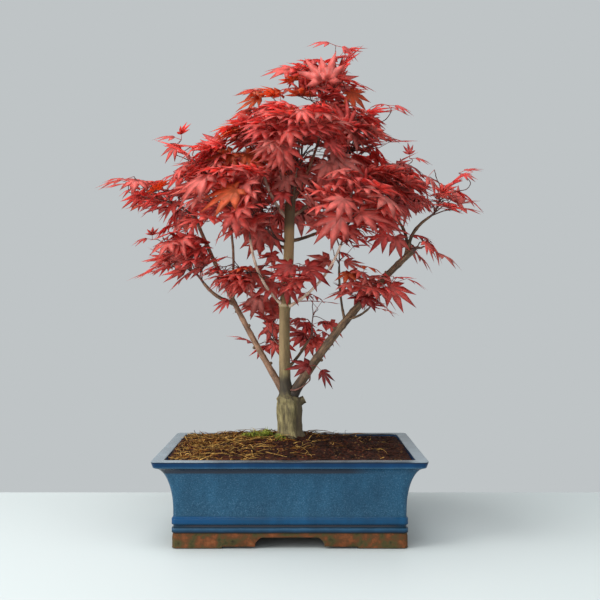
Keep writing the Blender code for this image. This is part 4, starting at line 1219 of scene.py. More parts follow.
# The right bough is nearly black where it leaves the collar
fork_shade = band(brown_tree, split_place(brown_tree)[2], 0.120, 0.147, 0.010, 0.95)
painted(brown_tree, brown_shader, mixed(brown_tree, fork_shade, brown, "#211A14"), 0.75)
pale_bark = bark("cream_bark", "#9C8270", "#C6A892", "#DEC4B0", "#ECDACA", 1.8, roughness=0.7)[0]
# The stub's cut is dry, pale and matt
cut_wood = mottled_wood("weathered_cut_wood", 2, 0.9,
                        (0.35, "#8D8362"), (0.6, "#C9C2A0"), (0.75, "#DCD6BC"))
trunk.data.materials.append(olive_bark)
stub.data.materials.append(olive_bark)
stub.data.materials.append(cut_wood)
for face in stub.data.polygons:
    outwards = (face.center - HOME - stub_start).dot(stub_way)
    if face.normal.dot(stub_way) > 0.9 and outwards > STUB_LENGTH - 1.5 * MM:
        face.material_index = 1
trunk = joined("trunk_bark_and_wood", [trunk, stub])
dressed(trunk, "trunk_bark", "trunk")

# %% [markdown]
# The boughs and branches are tubes of the same kind, grouped by their bark: pinkish tan on the
# left and at the top, cream on three young branches of the leader, and brown elsewhere. Each has
# swollen rings where pairs of buds once sat, and a few have dark nubs, which are the stumps of
# shoots that were pinched off.

# %% Boughs and branches
NODE_SPACING = 0.021
NUB_SIZE = mm(1.8, 2.0, 2.2)
# Shares of the limb and turns in degrees at which its nubs stand
NUBS = {
    "left_bough": ((0.20, 200), (0.31, 20), (0.42, 165), (0.515, 330)),
    "right_bough": ((0.27, 160), (0.44, 350), (0.66, 150), (0.83, 30)),
    "mid_left_branch": ((0.5, 200),),
    "mid_right_branch": ((0.55, 340),),
}


def limb_radius(name):
    root_radius, tip_radius = LIMBS[name].root_radius, LIMBS[name].tip_radius
    line = limb_lines[name]
    length = sum((b - a).length for a, b in zip(line, line[1:]))
    seed = sum(ord(letter) for letter in name)

    def radius_at(share, angle):
        run = share * length
        # Flared at its root and swollen at its nodes
        radius = (root_radius + (tip_radius - root_radius) * share) * (1 + 0.30 * bump_at(share, 0, 0.10))
        step = (run / NODE_SPACING + 0.35 * noise.noise(Vector((seed, 0, run * 30)))) % 1.0
        radius += 0.14 * root_radius ** 0.5 * tip_radius ** 0.5 * bump_at(step, 0.5, 0.07)
        spot = Vector((1.8 * math.cos(angle), 1.8 * math.sin(angle), run * 120 + seed))
        radius += 0.00022 * noise.noise(spot) + 0.00012 * noise.noise(spot * 3)
        return radius
    return radius_at


def nub(limb, share, degrees):
    """A pinched-off shoot: a cube rounded to a knob that stands half out of the bark."""
    centre, ahead = along(limb_lines[limb], share)
    radius = LIMBS[limb].root_radius + (LIMBS[limb].tip_radius - LIMBS[limb].root_radius) * share
    side = ahead.cross(ASKEW).normalized()
    other = ahead.cross(side)
    outward = side * math.cos(math.radians(degrees)) + other * math.sin(math.radians(degrees))
    knob = added(bpy.ops.mesh.primitive_cube_add, size=1)
    to_mode("EDIT")
    bpy.ops.mesh.subdivide(number_cuts=2, smoothness=1.0)
    to_mode("OBJECT")
    frame = Matrix((outward.cross(ahead), ahead, outward)).transposed().to_4x4()
    knob.matrix_world = (Matrix.Translation(HOME + centre + outward * (radius + 0.0004)) @ frame
                         @ Matrix.Diagonal((*NUB_SIZE, 1.0)))
    knob = settle(knob, "nub")
    knob.data.materials.append(brown_bark)
    knob.data.attributes.new("grain", "FLOAT_VECTOR", "POINT")
    knob.data.shade_smooth()
    return knob


LIGHTER_BARK = {"top_left_branch": pale_bark, "top_leader": tan_bark}
BARK_GROUPS = (
    ("tan_boughs", tan_bark, "tan_bark", ("left_", "top_left", "top_right")),
    ("cream_branches", pale_bark, "pale_bark", ("mid_",)),
    ("brown_boughs", brown_bark, "brown_bark",
     ("right_", "low_", "top_leader", "top_front", "top_back", "back_")),
)
BOUGH_SIDES_AND_RINGS, BRANCH_SIDES_AND_RINGS = (28, 110), (14, 44)
for group, material, slot, starts in BARK_GROUPS:
    names = [name for name in LIMBS if name.startswith(starts)]
    tubes = []
    for name in names:
        fineness = BOUGH_SIDES_AND_RINGS if name.endswith("_bough") else BRANCH_SIDES_AND_RINGS
        tubes.append(bark_tube(name + "_tube", limb_lines[name], limb_radius(name), *fineness))
        tubes[-1].data.materials.append(LIGHTER_BARK.get(name, material))
        tubes += [nub(name, *place) for place in NUBS.get(name, ())]
    dressed(joined(group, tubes), slot, *names)

# %% [markdown]
# The crown is made of masses, each hung on the tip of a limb or on the trunk, and each keeping to
# a rounded space of its own. The table gives the space's middle and half sizes, and how many
# shoots and leaves grow in it. The number of leaves is what fills the crown and what leaves the
# sky open below it.

# %% The plan of the crown
Mass = namedtuple("Mass", "name carrier heart reach shoots leaves region height", defaults=(None,))
# The last number, where there is one, is the height in mm at which the stem leaves the trunk
MASS_PLANS = (
    ("crown_tip", "top_leader", (36, 0, 460), (54, 49, 52), 9, 50, "top"),
    ("upper_left", "top_left_branch", (-32, -6, 414), (54, 49, 43), 9, 60, "top"),
    ("upper_front", "top_front_branch", (8, -66, 392), (56, 52, 43), 9, 60, "top"),
    ("upper_right", "top_right_branch", (80, 0, 404), (54, 52, 44), 9, 58, "top"),
    ("upper_back", "top_back_branch", (14, 70, 420), (63, 54, 49), 9, 52, "top"),
    ("crown_heart", "trunk", (0, -12, 380), (50, 48, 44), 7, 60, "top", 338),
    ("left_shoulder", "left_inner_branch", (-92, -4, 372), (60, 54, 43), 9, 62, "left"),
    ("left_wing", "left_bough", (-155, 6, 342), (54, 60, 44), 8, 27, "left"),
    ("left_low", "left_low_branch", (-120, -6, 280), (60, 54, 36), 8, 32, "left"),
    ("left_front", "mid_left_branch", (-60, -78, 326), (54, 52, 43), 9, 46, "left"),
    ("left_back", "back_left_branch", (-88, 84, 350), (67, 56, 52), 9, 50, "left"),
    ("left_heart", "trunk", (-34, -18, 330), (48, 46, 40), 7, 62, "left", 296),
    ("right_shoulder", "right_shoulder_branch", (108, -2, 356), (54, 52, 38), 8, 54, "right"),
    ("right_wing", "right_wing_branch", (155, 0, 344), (50, 56, 44), 7, 20, "right"),
    ("right_end", "right_bough", (142, -10, 290), (45, 45, 34), 4, 8, "right"),
    ("right_front", "mid_right_branch", (56, -78, 318), (56, 52, 40), 9, 50, "right"),
    ("right_back", "back_right_branch", (96, 82, 354), (67, 56, 52), 9, 50, "right"),
    ("back_heart", "back_branch", (0, 98, 352), (52, 47, 47), 7, 44, "top"),
    ("low_left", "left_front_branch", (-44, -36, 262), (47, 40, 29), 7, 44, "low"),
    ("low_middle", "trunk", (12, -36, 262), (43, 40, 31), 7, 28, "low", 244),
    ("low_right", "low_right_branch", (86, -36, 240), (52, 45, 29), 6, 31, "low"),
    ("low_back_left", "trunk", (-30, 36, 206), (40, 41, 37), 4, 13, "low", 190),
    ("low_back_right", "low_back_branch", (22, 46, 212), (41, 42, 37), 4, 12, "low"),
    ("fork_leaves", "trunk", (22, -26, 158), (34, 31, 22), 2, 0, "low", 143),
    ("right_pair", "right_inner_branch", (50, -10, 292), (40, 34, 29), 4, 9, "low"),
)
MASSES = tuple(
    Mass(name, carrier, mm(*heart), mm(*reach), *rest)
    for name, carrier, heart, reach, *rest in MASS_PLANS)
CROWN_MIDDLE = Vector((0.0, 0.0, 0.330))
HEARTS = np.array([mass.heart for mass in MASSES])
REACHES = np.array([mass.reach for mass in MASSES])
BOX_LOW = np.array(CAD_BOX[0]) - np.array(HOME) + 0.0006
BOX_HIGH = np.array(CAD_BOX[1]) - np.array(HOME) - 0.0006
print(len(MASSES), "masses,", sum(mass.leaves for mass in MASSES), "leaves planned")

# %% [markdown]
# A stem runs from the limb to the middle of the mass. Shoots fork from it at the angle that maple
# shoots keep, each to a place of its own near the edge of the space, and short side twigs leave
# the shoots in pairs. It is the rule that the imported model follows, carried one order further.

# %% Growing the twigs
TWIG_SEED = 31
STEM_SEAT, STEM_BEND = 0.0015, 0.42
SHOOT_ENDS = (0.42, 0.78)
LEADER_END = 0.80
SHOOT_BEND, SHOOT_RISE = 0.30, 0.08
FORK_ANGLE = math.radians(42)
# No shoot is shorter than this
SHORTEST_SHOOT = 0.004
SPREAD_TRIES = 30
TWIG_POINTS = 8
TRUNK_STEM_RADIUS, STEM_TIP_RADIUS = 0.00115, 0.00062
SHOOT_RADII = (0.00080, 0.00042)
SIDE_TWIG_RADII = (0.00052, 0.00034)
SIDE_TWIG_SHARES = (0.45, 0.72)
SIDE_TWIG_LENGTH = (0.010, 0.022)
# How a side twig leaves its shoot, ahead and sideways, and how much its tip and its middle are moved
SIDE_TWIG_AHEAD, SIDE_TWIG_SIDEWAYS, SIDE_TWIG_BEND = 0.75, 0.65, 0.002
FORK_SHIFT = 0.06
# Side twigs grow up to this share of the mass's space, and this share of them does
SIDE_TWIG_REACH, SIDE_TWIG_CHANCE = 0.85, 0.7
# How far the points of a stem, a shoot and a side twig wander from their line
STEM_WANDER, SHOOT_WANDER, SIDE_TWIG_WANDER = mm(0.4, 0.6, 0.3)
# A twig forks from its parent, a number in its mass, at a share of the parent's length
Twig = namedtuple("Twig", "line root_radius tip_radius parent fork", defaults=(None, 0))


def share_of_space(mass, place):
    away = Vector(place) - Vector(mass.heart)
    return Vector(away[axis] / mass.reach[axis] for axis in range(3)).length


def leading_way(mass):
    """The way in which a mass reaches out of the crown."""
    return (Vector(mass.heart) - CROWN_MIDDLE).normalized()


def spread_places(mass, count, chance):
    """Places in the space, each the one of many tries that lies farthest from those before it."""
    places = [leading_way(mass) * LEADER_END]
    while len(places) < count:
        best = None
        for _ in range(SPREAD_TRIES):
            height, turn = chance.uniform(-0.7, 1.0), chance.uniform(0, 2 * math.pi)
            flat = math.sqrt(1 - height * height)
            way = Vector((flat * math.cos(turn), flat * math.sin(turn), height))
            way *= SHOOT_ENDS[0] + (SHOOT_ENDS[1] - SHOOT_ENDS[0]) * chance.random() ** 0.5
            room = min((way - other).length for other in places)
            if best is None or room > best[0]:
                best = (room, way)
        places.append(best[1])
    return [Vector(heart + share * reach for heart, share, reach in zip(mass.heart, way, mass.reach))
            for way in places]


def fork_place(stem, end, chance):
    """The place on the stem from which a shoot reaches its end at the usual fork angle."""
    best = None
    for step in range(2, 10):
        share = (step + chance.uniform(-0.3, 0.3)) / 10
        place, ahead = along(stem, share)
        way = end - place
        if way.length < SHORTEST_SHOOT:
            continue
        miss = abs(way.angle(ahead) - FORK_ANGLE) + 6 * way.length
        if best is None or miss < best[0]:
            best = (miss, share, place, ahead)
    return best[1:]


def curve_points(start, bend, end, wander, chance):
    """Points of a bent line that wanders a little, as a twig does from bud to bud."""
    points = []
    for step in range(TWIG_POINTS):
        point = bent_line(start, bend, end, step / (TWIG_POINTS - 1))
        if 0 < step < TWIG_POINTS - 1:
            point += Vector(chance.gauss(0, wander) for _ in range(3))
        points.append(point)
    return points


def stem_of(mass, chance):
    """The stem starts inside its limb's tip or inside the trunk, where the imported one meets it."""
    heart = Vector(mass.heart)
    if mass.carrier == "trunk":
        height = mass.height / 1000
        middle, radius = trunk_middle(height), at_height(height, RADIUS)
        heading = ((heart - middle) * Vector((1, 1, 0))).normalized()
        start = middle + heading * radius * 0.5
        root_radius = TRUNK_STEM_RADIUS
        seat_end = middle + heading * (radius + STEM_SEAT)
    else:
        line = limb_lines[mass.carrier]
        heading = (line[-1] - line[-2]).normalized()
        start = line[-1] - heading * 0.002
        root_radius = LIMBS[mass.carrier].tip_radius * 0.98
        seat_end = line[-1] + heading * STEM_SEAT
    bend = seat_end + heading * (heart - seat_end).length * STEM_BEND
    line = [start] + curve_points(seat_end, bend, heart, STEM_WANDER, chance)
    return Twig(line, root_radius, STEM_TIP_RADIUS)


def grow_twigs(mass, chance):
    """The stem of a mass, its shoots and their side twigs."""
    stem = stem_of(mass, chance)
    twigs = [stem]
    for end in spread_places(mass, mass.shoots, chance):
        fork, root, ahead = fork_place(stem.line, end, chance)
        reach = (end - root).length
        bend = root + (ahead + (end - root).normalized()) * reach * SHOOT_BEND
        bend.z += reach * SHOOT_RISE
        shoot = Twig(curve_points(root, bend, end, SHOOT_WANDER, chance), *SHOOT_RADII, 0, fork)
        number = len(twigs)
        twigs.append(shoot)
        for share in SIDE_TWIG_SHARES:
            fork = share + chance.uniform(-FORK_SHIFT, FORK_SHIFT)
            place, ahead = along(shoot.line, fork)
            sideways = ahead.cross(Vector(chance.gauss(0, 1) for _ in range(3))).normalized()
            for side in (1, -1):
                way = (ahead * SIDE_TWIG_AHEAD + sideways * side * SIDE_TWIG_SIDEWAYS).normalized()
                tip = place + way * chance.uniform(*SIDE_TWIG_LENGTH)
                tip.z += SIDE_TWIG_BEND
                if share_of_space(mass, tip) < SIDE_TWIG_REACH and chance.random() < SIDE_TWIG_CHANCE:
                    middle = (place + tip) / 2 + ahead * SIDE_TWIG_BEND
                    line = curve_points(place, middle, tip, SIDE_TWIG_WANDER, chance)
                    twigs.append(Twig(line, *SIDE_TWIG_RADII, number, fork))
    return twigs


def swept(pattern, twig):
    """The strand pattern laid along a twig's line, thinning towards its tip."""
    rings = len(twig.line) - 1
    shares = np.linspace(0, 1, rings + 1)
    centres = np.array([point[:] for point in twig.line])
    frames = line_frames(twig.line)
    sides = np.array([side[:] for side, _ in frames])
    others = np.array([other[:] for _, other in frames])
    radii = twig.root_radius + (twig.tip_radius - twig.root_radius) * shares
    ring = np.rint(pattern[:, 2] * rings).astype(int)
    across = (sides[ring] * pattern[:, :1] + others[ring] * pattern[:, 1:2]) * radii[ring][:, None]
    return centres[ring] + across + np.array(HOME)


chance = random.Random(TWIG_SEED)
twigs_of = {mass.name: grow_twigs(mass, chance) for mass in MASSES}

# %% [markdown]
# Some shoots give this crown its character: young ones with small folded leaves that run on past
# its edge, and a few large bright leaves low in front. They are listed one by one. Each springs from the
# nearest twig of its mass.

# %% Shoots listed one by one
# Numbers of the leaf patterns
SEVEN, FIVE, NARROW = range(3)
# Mass, place of the tip in mm, and its leaves: three numbers for the way, length in mm, lean
# towards the front, and pattern
SET_SHOOTS = (
    ("crown_tip", (45.5, -28, 490.5), (-1, -0.2, 0.05, 24, 0.6, NARROW), (0.9, 0.1, -0.45, 22, 0.7, NARROW)),
    ("crown_tip", (8, -6, 470), (-0.95, -0.2, -0.1, 32, 0.7, SEVEN)),
    ("crown_tip", (34, -42, 443), (0.3, -0.1, 1, 31, 2, FIVE), (-0.5, -0.1, 0.9, 30, 2, FIVE)),
    ("crown_tip", (56, -6, 452), (0.55, -0.2, -0.6, 26, 1.2, SEVEN)),
    ("upper_left", (-22, -4, 446), (-0.9, -0.2, 0.1, 28, 0.7, FIVE), (-0.85, -0.2, -0.45, 32, 0.8, NARROW)),
    ("upper_left", (-52, -20, 386), (0.7, -0.3, -0.5, 36, 1, SEVEN), (-0.7, -0.3, -0.5, 34, 1, SEVEN)),
    ("upper_front", (36, -58, 374), (0.85, -0.3, -0.4, 34, 1, SEVEN), (0.1, -0.5, -0.8, 30, 1.1, SEVEN)),
    ("crown_heart", (32, -10, 372), (0.9, -0.2, -0.3, 30, 1.1, FIVE), (0.2, -0.3, -0.9, 30, 1.2, SEVEN)),
    ("upper_right", (101, 0, 436.5), (-1, -0.2, -0.1, 18, 0.4, NARROW), (0.9, -0.2, -0.35, 23, 0.4, NARROW)),
    ("right_shoulder", (122.5, -4, 381), (-0.1, 0.1, 1, 14, 2, NARROW), (1, -0.1, -0.25, 20, 0.4, NARROW)),
    ("right_wing", (173.5, 0, 366.5), (1, 0.1, 0.15, 22, 0.3, NARROW), (0.5, -0.6, -0.4, 20, 0.4, NARROW)),
    ("right_end", (104, -12, 306), (-0.75, -0.3, -0.6, 28, 1, FIVE), (0.3, -0.3, -0.9, 26, 1, FIVE)),
    ("left_shoulder", (-113, 0, 401), (-1, -0.2, 0.05, 24, 0.5, NARROW), (0.2, -0.5, 0.5, 20, 0.5, NARROW),
     (-0.5, -0.3, -0.8, 25, 0.8, NARROW)),
    ("left_wing", (-166, 0, 358), (-1, -0.1, 0.1, 24, 0.3, NARROW), (0.4, -0.6, -0.3, 20, 0.5, NARROW)),
    ("left_low", (-143, 0, 298), (-0.95, -0.2, -0.15, 18, 0.4, NARROW), (0.1, -0.5, 0.3, 18, 0.4, NARROW)),
    ("left_low", (-117, -10, 274), (-0.97, -0.2, 0.05, 28, 0.8, FIVE), (-0.85, -0.2, -0.45, 22, 0.9, NARROW)),
    ("left_front", (-39, -100, 340), (-0.78, -0.15, -0.4, 40, 1.1, SEVEN)),
    ("right_front", (56, -98, 316), (-0.62, -0.15, -0.45, 36, 1.2, SEVEN), (0.9, -0.25, -0.25, 34, 1, FIVE)),
    ("crown_heart", (-2, -30, 364), (-0.3, -0.3, -0.85, 27, 1.2, SEVEN), (0.75, -0.2, -0.55, 26, 1.1, FIVE)),
    ("right_pair", (48, -6, 276), (-0.95, -0.2, -0.15, 30, 0.9, FIVE), (0.9, -0.2, -0.3, 26, 0.9, NARROW)),
    ("low_left", (-10, -6, 256), (-0.75, -0.2, -0.45, 29, 1.1, SEVEN), (0.55, -0.2, -0.7, 26, 1.1, SEVEN)),
    ("left_heart", (-6, -52, 343), (-0.1, -0.6, -0.7, 22, 1, FIVE)),
    ("left_heart", (-26, -4, 312), (-0.5, -0.2, -0.8, 32, 1.2, SEVEN), (0.5, -0.1, -0.75, 28, 1.2, SEVEN)),
    ("left_heart", (-22, 4, 290), (-0.8, -0.1, 0.1, 22, 1, FIVE), (0.2, 0, -0.8, 20, 1.2, FIVE)),
    ("low_left", (-50, -4, 264), (0.95, -0.1, -0.3, 34, 1.1, SEVEN), (-0.8, -0.2, -0.55, 26, 1.1, FIVE)),
    ("low_left", (-30, 4, 248), (-0.35, 0, -0.95, 28, 1.3, FIVE), (0.9, 0.1, -0.3, 22, 1.2, FIVE)),
    ("low_left", (-58, -4, 238), (-0.85, -0.1, -0.6, 22, 0.8, NARROW)),
    ("low_middle", (8, -30, 272), (-0.75, -0.3, -0.4, 28, 1.1, SEVEN), (0.75, -0.2, -0.5, 32, 1.1, SEVEN)),
    ("low_right", (88, -40, 250), (0.85, -0.3, -0.4, 34, 1, SEVEN), (-0.9, -0.3, -0.2, 32, 1, SEVEN)),
    ("low_back_left", (-14, 30, 196), (-0.3, 0, -0.9, 20, 1, FIVE)),
    ("low_back_right", (24, 34, 194), (0.5, 0, -0.8, 20, 1, FIVE), (-0.4, 0, -0.85, 18, 1, FIVE)),
    ("low_back_right", (36, 36, 214), (0.75, -0.1, -0.6, 22, 1, FIVE)),
    ("low_back_left", (-16, 22, 216), (-0.35, -0.2, -0.9, 24, 1, FIVE)),
    ("low_back_left", (-12, 22, 194), (0.55, -0.2, -0.8, 21, 1, FIVE)),
    ("fork_leaves", (26, -22, 169), (-1, -0.15, -0.12, 26, 1, FIVE), (0.6, -0.1, -0.8, 23, 0.7, NARROW)),
)


def nearest_twig(twigs, tip):
    """Number of the twig and share of its length that lie nearest to a place."""
    places = [(number, step / 8) for number in range(1, len(twigs)) for step in range(2, 9)]
    return min(places, key=lambda place: (along(twigs[place[0]].line, place[1])[0] - Vector(tip)).length)


def grow_set_shoot(mass_name, tip):
    twigs = twigs_of[mass_name]
    number, fork = nearest_twig(twigs, tip)
    root, ahead = along(twigs[number].line, fork)
    bend = root + ahead * (Vector(tip) - root).length * 0.4
    line = [bent_line(root, bend, Vector(tip), step / (TWIG_POINTS - 1)) for step in range(TWIG_POINTS)]
    twigs.append(Twig(line, *SIDE_TWIG_RADII, number, fork))
    return len(twigs) - 1


set_numbers = [grow_set_shoot(name, mm(*tip)) for name, tip, *_ in SET_SHOOTS]
print(sum(len(twigs) for twigs in twigs_of.values()), "twigs")

# %% [markdown]
# A leaf of this maple is a star of five or seven lobes, each folded a little along its rib and
# drawn out to a fine point. A lobe starts as a grid of three by two faces: its four stations are
# set at the hub, the notch, the widest place and the tip. The lobes are joined and their shared
# corners merged; a flipped copy with lower ribs closes the blade from below. Three patterns are
# enough, because every copy is sized, drooped and narrowed on its own.

# %% Leaf patterns
# Shares of the leaf's length: the blade's thickness, the rise of its notches and of its lobes' sides
LEAF_BLADE = 0.010
NOTCH_RISE, LOBE_FOLD = 0.012, 0.020
LobePlan = namedtuple("LobePlan", "angle length")
# How far beyond the last lobe the last notch lies, in degrees, and its radius
LAST_NOTCH = (38, 0.07)
# Lobes of one half, radii of the notches between them, half width and widest place of a lobe
LEAF_PATTERNS = {
    "seven_lobed": ((LobePlan(0, 1.0), LobePlan(33, 0.93), LobePlan(68, 0.74), LobePlan(112, 0.40)),
                    (0.38, 0.34, 0.22), 0.138, 0.52),
    "five_lobed": ((LobePlan(0, 1.0), LobePlan(38, 0.88), LobePlan(80, 0.58)), (0.38, 0.30), 0.156, 0.50),
    "narrow": ((LobePlan(0, 1.0), LobePlan(28, 0.88), LobePlan(60, 0.60)), (0.30, 0.24), 0.110, 0.52),
}


def leaf_lobe(angle, length, notches, half_width, widest):
    """One lobe at an angle; notches are the (angle, radius) of the corners on its two sides."""
    lobe = added(bpy.ops.mesh.primitive_grid_add, x_subdivisions=3, y_subdivisions=2, size=2)
    ahead = Vector(place_at(angle, 1))
    left = Vector((-ahead.y, ahead.x, 0))
    for vert in lobe.data.vertices:
        station = round((vert.co.x + 1) * 1.5)
        row = round(vert.co.y)
        if station == 0:
            vert.co = (0, 0, 0)
        elif station == 1 and row:
            vert.co = place_at(*notches[0 if row < 0 else 1], NOTCH_RISE)
        elif station == 1:
            vert.co = ahead * 0.30 * length
        elif station == 2:
            vert.co = ahead * widest * length + left * row * half_width * (0.55 + 0.45 * length)
            vert.co.z = LOBE_FOLD * abs(row)
        else:
            vert.co = ahead * length
    return lobe


def leaf_pattern(name):
    """A closed thin blade that points along +X from its hub at the origin, 1 long."""
    plans, notch_radii, half_width, widest = LEAF_PATTERNS[name]
    angles = [plan.angle for plan in plans]
    between = [(a + b) / 2 for a, b in zip(angles, angles[1:])] + [angles[-1] + LAST_NOTCH[0]]
    radii = [*notch_radii, LAST_NOTCH[1]]
    lobes = []
    for number, plan in enumerate(plans):
        inner = (between[number - 1], radii[number - 1]) if number else (-between[0], radii[0])
        outer = (between[number], radii[number])
        lobes.append(leaf_lobe(plan.angle, plan.length, (inner, outer), half_width, widest))
        if number:
            lobes.append(leaf_lobe(-plan.angle, plan.length, ((-outer[0], outer[1]), (-inner[0], inner[1])),
                                   half_width, widest))
    leaf = joined(name, lobes)
    merge_doubles(leaf)
    upper = len(leaf.data.vertices)
    inside = inner_corners(leaf.data)
    edit_all(leaf)
    bpy.ops.mesh.duplicate()
    bpy.ops.mesh.flip_normals()
    to_mode("OBJECT")
    for vert in leaf.data.vertices:
        if vert.index % upper in inside:
            vert.co.z += LEAF_BLADE / 2 if vert.index < upper else -LEAF_BLADE / 2
    merge_doubles(leaf)
    return taken_pattern(leaf)


def merge_doubles(obj):
    edit_all(obj)
    bpy.ops.mesh.remove_doubles(threshold=0.0001)
    to_mode("OBJECT")


def inner_corners(mesh):
    """Corners of an open sheet that lie on none of its border edges."""
    uses = {}
    for face in mesh.polygons:
        for key in face.edge_keys:
            uses[key] = uses.get(key, 0) + 1
    border = {corner for key, count in uses.items() if count == 1 for corner in key}
    return {vert.index for vert in mesh.vertices} - border


leaf_patterns = {name: leaf_pattern(name) for name in LEAF_PATTERNS}
for name, (corners, faces) in leaf_patterns.items():
    print(name, len(faces), "faces,", sum(len(face) - 2 for face in faces), "triangles")

# %% [markdown]
# Leaves sit in pairs on the twigs' nodes, each on a stalk that leaves ahead and to its side. The
# blade runs on from it, outwards and a little down, with its face to the sky. Hundreds of ways to
# hang the next leaf are drawn at once as arrays; those that leave the mass's space or the plant's
# own reach, or that belong to a neighbour, fall out, and of the rest the roomiest that touches no
# wood or leaf is taken. From the front the real crown isn't even, so a short list says where
# leaves hang closer and where the sky stays open, and no leaf hides the pale branches.

# %% Close and open places
# In mm on the upright plane through the trunk, as seen from the front: place across and up, half
# width and half height, and for close places how much closer than elsewhere the leaves hang
CLOSE_PLACES = (
    (-50, 385, 34, 34, 1.8), (-35, 366, 35, 14, 1.5), (60, 446, 18, 24, 1.8), (45, 374, 30, 16, 1.5),
    (-4, 352, 16, 10, 1.5), (124, 329, 22, 10, 1.5), (-118, 308, 22, 12, 1), (-116, 289, 28, 16, 1.2),
    (-20, 309, 22, 13, 2.2), (104, 308, 22, 10, 1.2), (-64, 309, 12, 9, 2), (-22, 268, 18, 10, 2.5),
    (-34, 247, 48, 11, 2.5), (83, 247, 30, 13, 1.6), (123, 287, 14, 8, 1), (-12, 186, 18, 8, 1),
    (-21, 226, 16, 8, 1.2), (-10, 352, 30, 12, 1.5),
)
OPEN_PLACES = (
    (-163, 382, 44, 16), (-192, 331.5, 16, 16), (156, 376, 30, 14), (160, 312, 38, 13),
    (-176, 302, 26, 24), (111, 269, 18, 9), (94, 466, 18, 16), (118, 412, 16, 12), (18, 495.5, 10, 11),
    (-66, 434, 12, 10), (10, 440.5, 12, 5), (20, 388.5, 16, 5), (20, 287, 11, 9), (118, 246, 11, 10),
    (40, 222, 34, 9), (-44, 204, 13, 9), (-62, 287.5, 15, 8), (-150, 367.5, 30, 8.5),
    (106, 388.5, 13, 9.5), (-169, 284, 19, 20), (40, 490.5, 14, 6), (79, 439.5, 10, 6), (80, 480, 12, 11),
    (-98, 419.5, 26, 6), (-22, 289, 10, 7), (33, 505, 26, 8), (186, 350, 13, 8), (168, 291, 14, 10),
    (124, 226, 14, 10), (-44, 462, 12, 8), (105, 290, 8, 8), (-148, 312, 9, 12), (-83, 305, 11, 8),
    (-108, 404, 12, 6), (-44, 437, 9, 5), (80, 283.5, 16, 5), (-63, 273, 10, 6), (20, 272, 8, 6),
    (0, 489, 14, 6), (103, 424, 8, 5), (40, 291, 12, 5),
)
# Branches that stay in view, with the first and last step of the part that does
SHOWN_BRANCHES = (("top_left_branch", 1, 24), ("mid_left_branch", 1, 24), ("mid_right_branch", 1, 24),
                  ("top_leader", 11, 28))
SHOWN_LEADER = (0.277, 0.338)
BRANCH_CLEAR, LEADER_CLEAR = 0.0026, 0.0080


def seen_from_front(places):
    """Where places show on the upright plane through the trunk, across and up."""
    eye = np.array(EYE_FROM_POT)
    nearness = eye[1] / (eye[1] - places[..., 1:2])
    return (eye + (places - eye) * nearness)[..., [0, 2]]


def shown_wood():
    """Places along the wood that stays in view, where they show, and how far leaves keep off."""
    leader = [trunk_middle(height) for height in np.linspace(*SHOWN_LEADER, 14)]
    branches = [point for name, first, last in SHOWN_BRANCHES
                for point in limb_lines[name][first:last]]
    places = np.array([point[:] for point in leader + branches])
    clear = np.array([LEADER_CLEAR] * len(leader) + [BRANCH_CLEAR] * len(branches))
    return places[:, 1], seen_from_front(places), clear


def away_from(oval, flat):
    """How far places lie from the middle of an oval, whose edge is at 1."""
    across, up, half_width, half_height = mm(*oval)
    return np.hypot((flat[..., 0] - across) / half_width, (flat[..., 1] - up) / half_height)


def closeness(places):
    """How much closer than elsewhere the leaves hang at each place."""
    flat = seen_from_front(places)
    total = np.ones(len(places))
    for *oval, more in CLOSE_PLACES:
        total += more * np.exp(-away_from(oval, flat) ** 2)
    return total


SHOWN_DEPTH, SHOWN_PLACE, SHOWN_CLEAR = shown_wood()


def in_the_way(points):
    """Whether any point of each leaf shows in an open place or hides wood that stays in view."""
    flat = seen_from_front(points)
    hides = np.zeros(len(points), bool)
    for oval in OPEN_PLACES:
        hides |= (away_from(oval, flat) < 1).any(axis=1)
    for depth, place, clear in zip(SHOWN_DEPTH, SHOWN_PLACE, SHOWN_CLEAR):
        near = np.hypot(flat[..., 0] - place[0], flat[..., 1] - place[1]) < clear
        hides |= (near & (points[..., 1] < depth)).any(axis=1)
    return hides


# %% Hanging the leaves
LEAF_SEED = 47
LEAF_LENGTH = (0.026, 0.043)
STALK_LENGTH = (0.006, 0.020)
# A stalk's way: its parts along the twig, sideways and up, and how much the sideways part strays
STALK_AHEAD, STALK_SIDEWAYS, STALK_UP, STALK_STRAY = 0.7, 0.9, 0.2, 0.55
# A blade's way: its parts along the stalk and out of the crown, and how far it hangs
BLADE_AHEAD, BLADE_OUT = 0.8, 0.65
BLADE_HANG = (-0.10, 0.85)
FACE_OUT = (0.1, 0.9)
FACE_SPREAD = 0.38
LEAF_DROOP = (0.06, 0.34)
LEAF_NARROWING, SET_NARROWING = (0.74, 1.04), (0.78, 0.95)
LEAF_CURL, SET_CURL = 0.10, 0.05
BLADE_MIDDLE = 0.42
# In spaces with a smaller reach than this the leaves are smaller too
FULL_SIZE_REACH = 0.036
LEAF_TRIES = 5000
LEAF_BEST = 120
NODES_A_TWIG = 5
NODE_FROM, STEM_NODE_FROM = 0.32, 0.55
# The pairs of a twig stand crosswise, each at right angles to one of these ways
PAIR_WAYS = (Vector((0.9, -0.4, 0.1)), Vector((0.3, 0.2, 0.93)))
EDGE_LEAN = 0.012
# How far past its mass's space a leaf may reach, and the least cosine of stalk and blade
TIP_REACH = 1.08
LEAST_BEND = 0.30
# The shares of its lobes at which a leaf is looked at from the front
SPOKE_SHARES = (0.25, 0.5, 0.75, 1.0)
NEAR_LEAF = 0.050
RULED_OUT = -9
STAR_SHARE, STAR_NOTCH = 0.85, 0.42
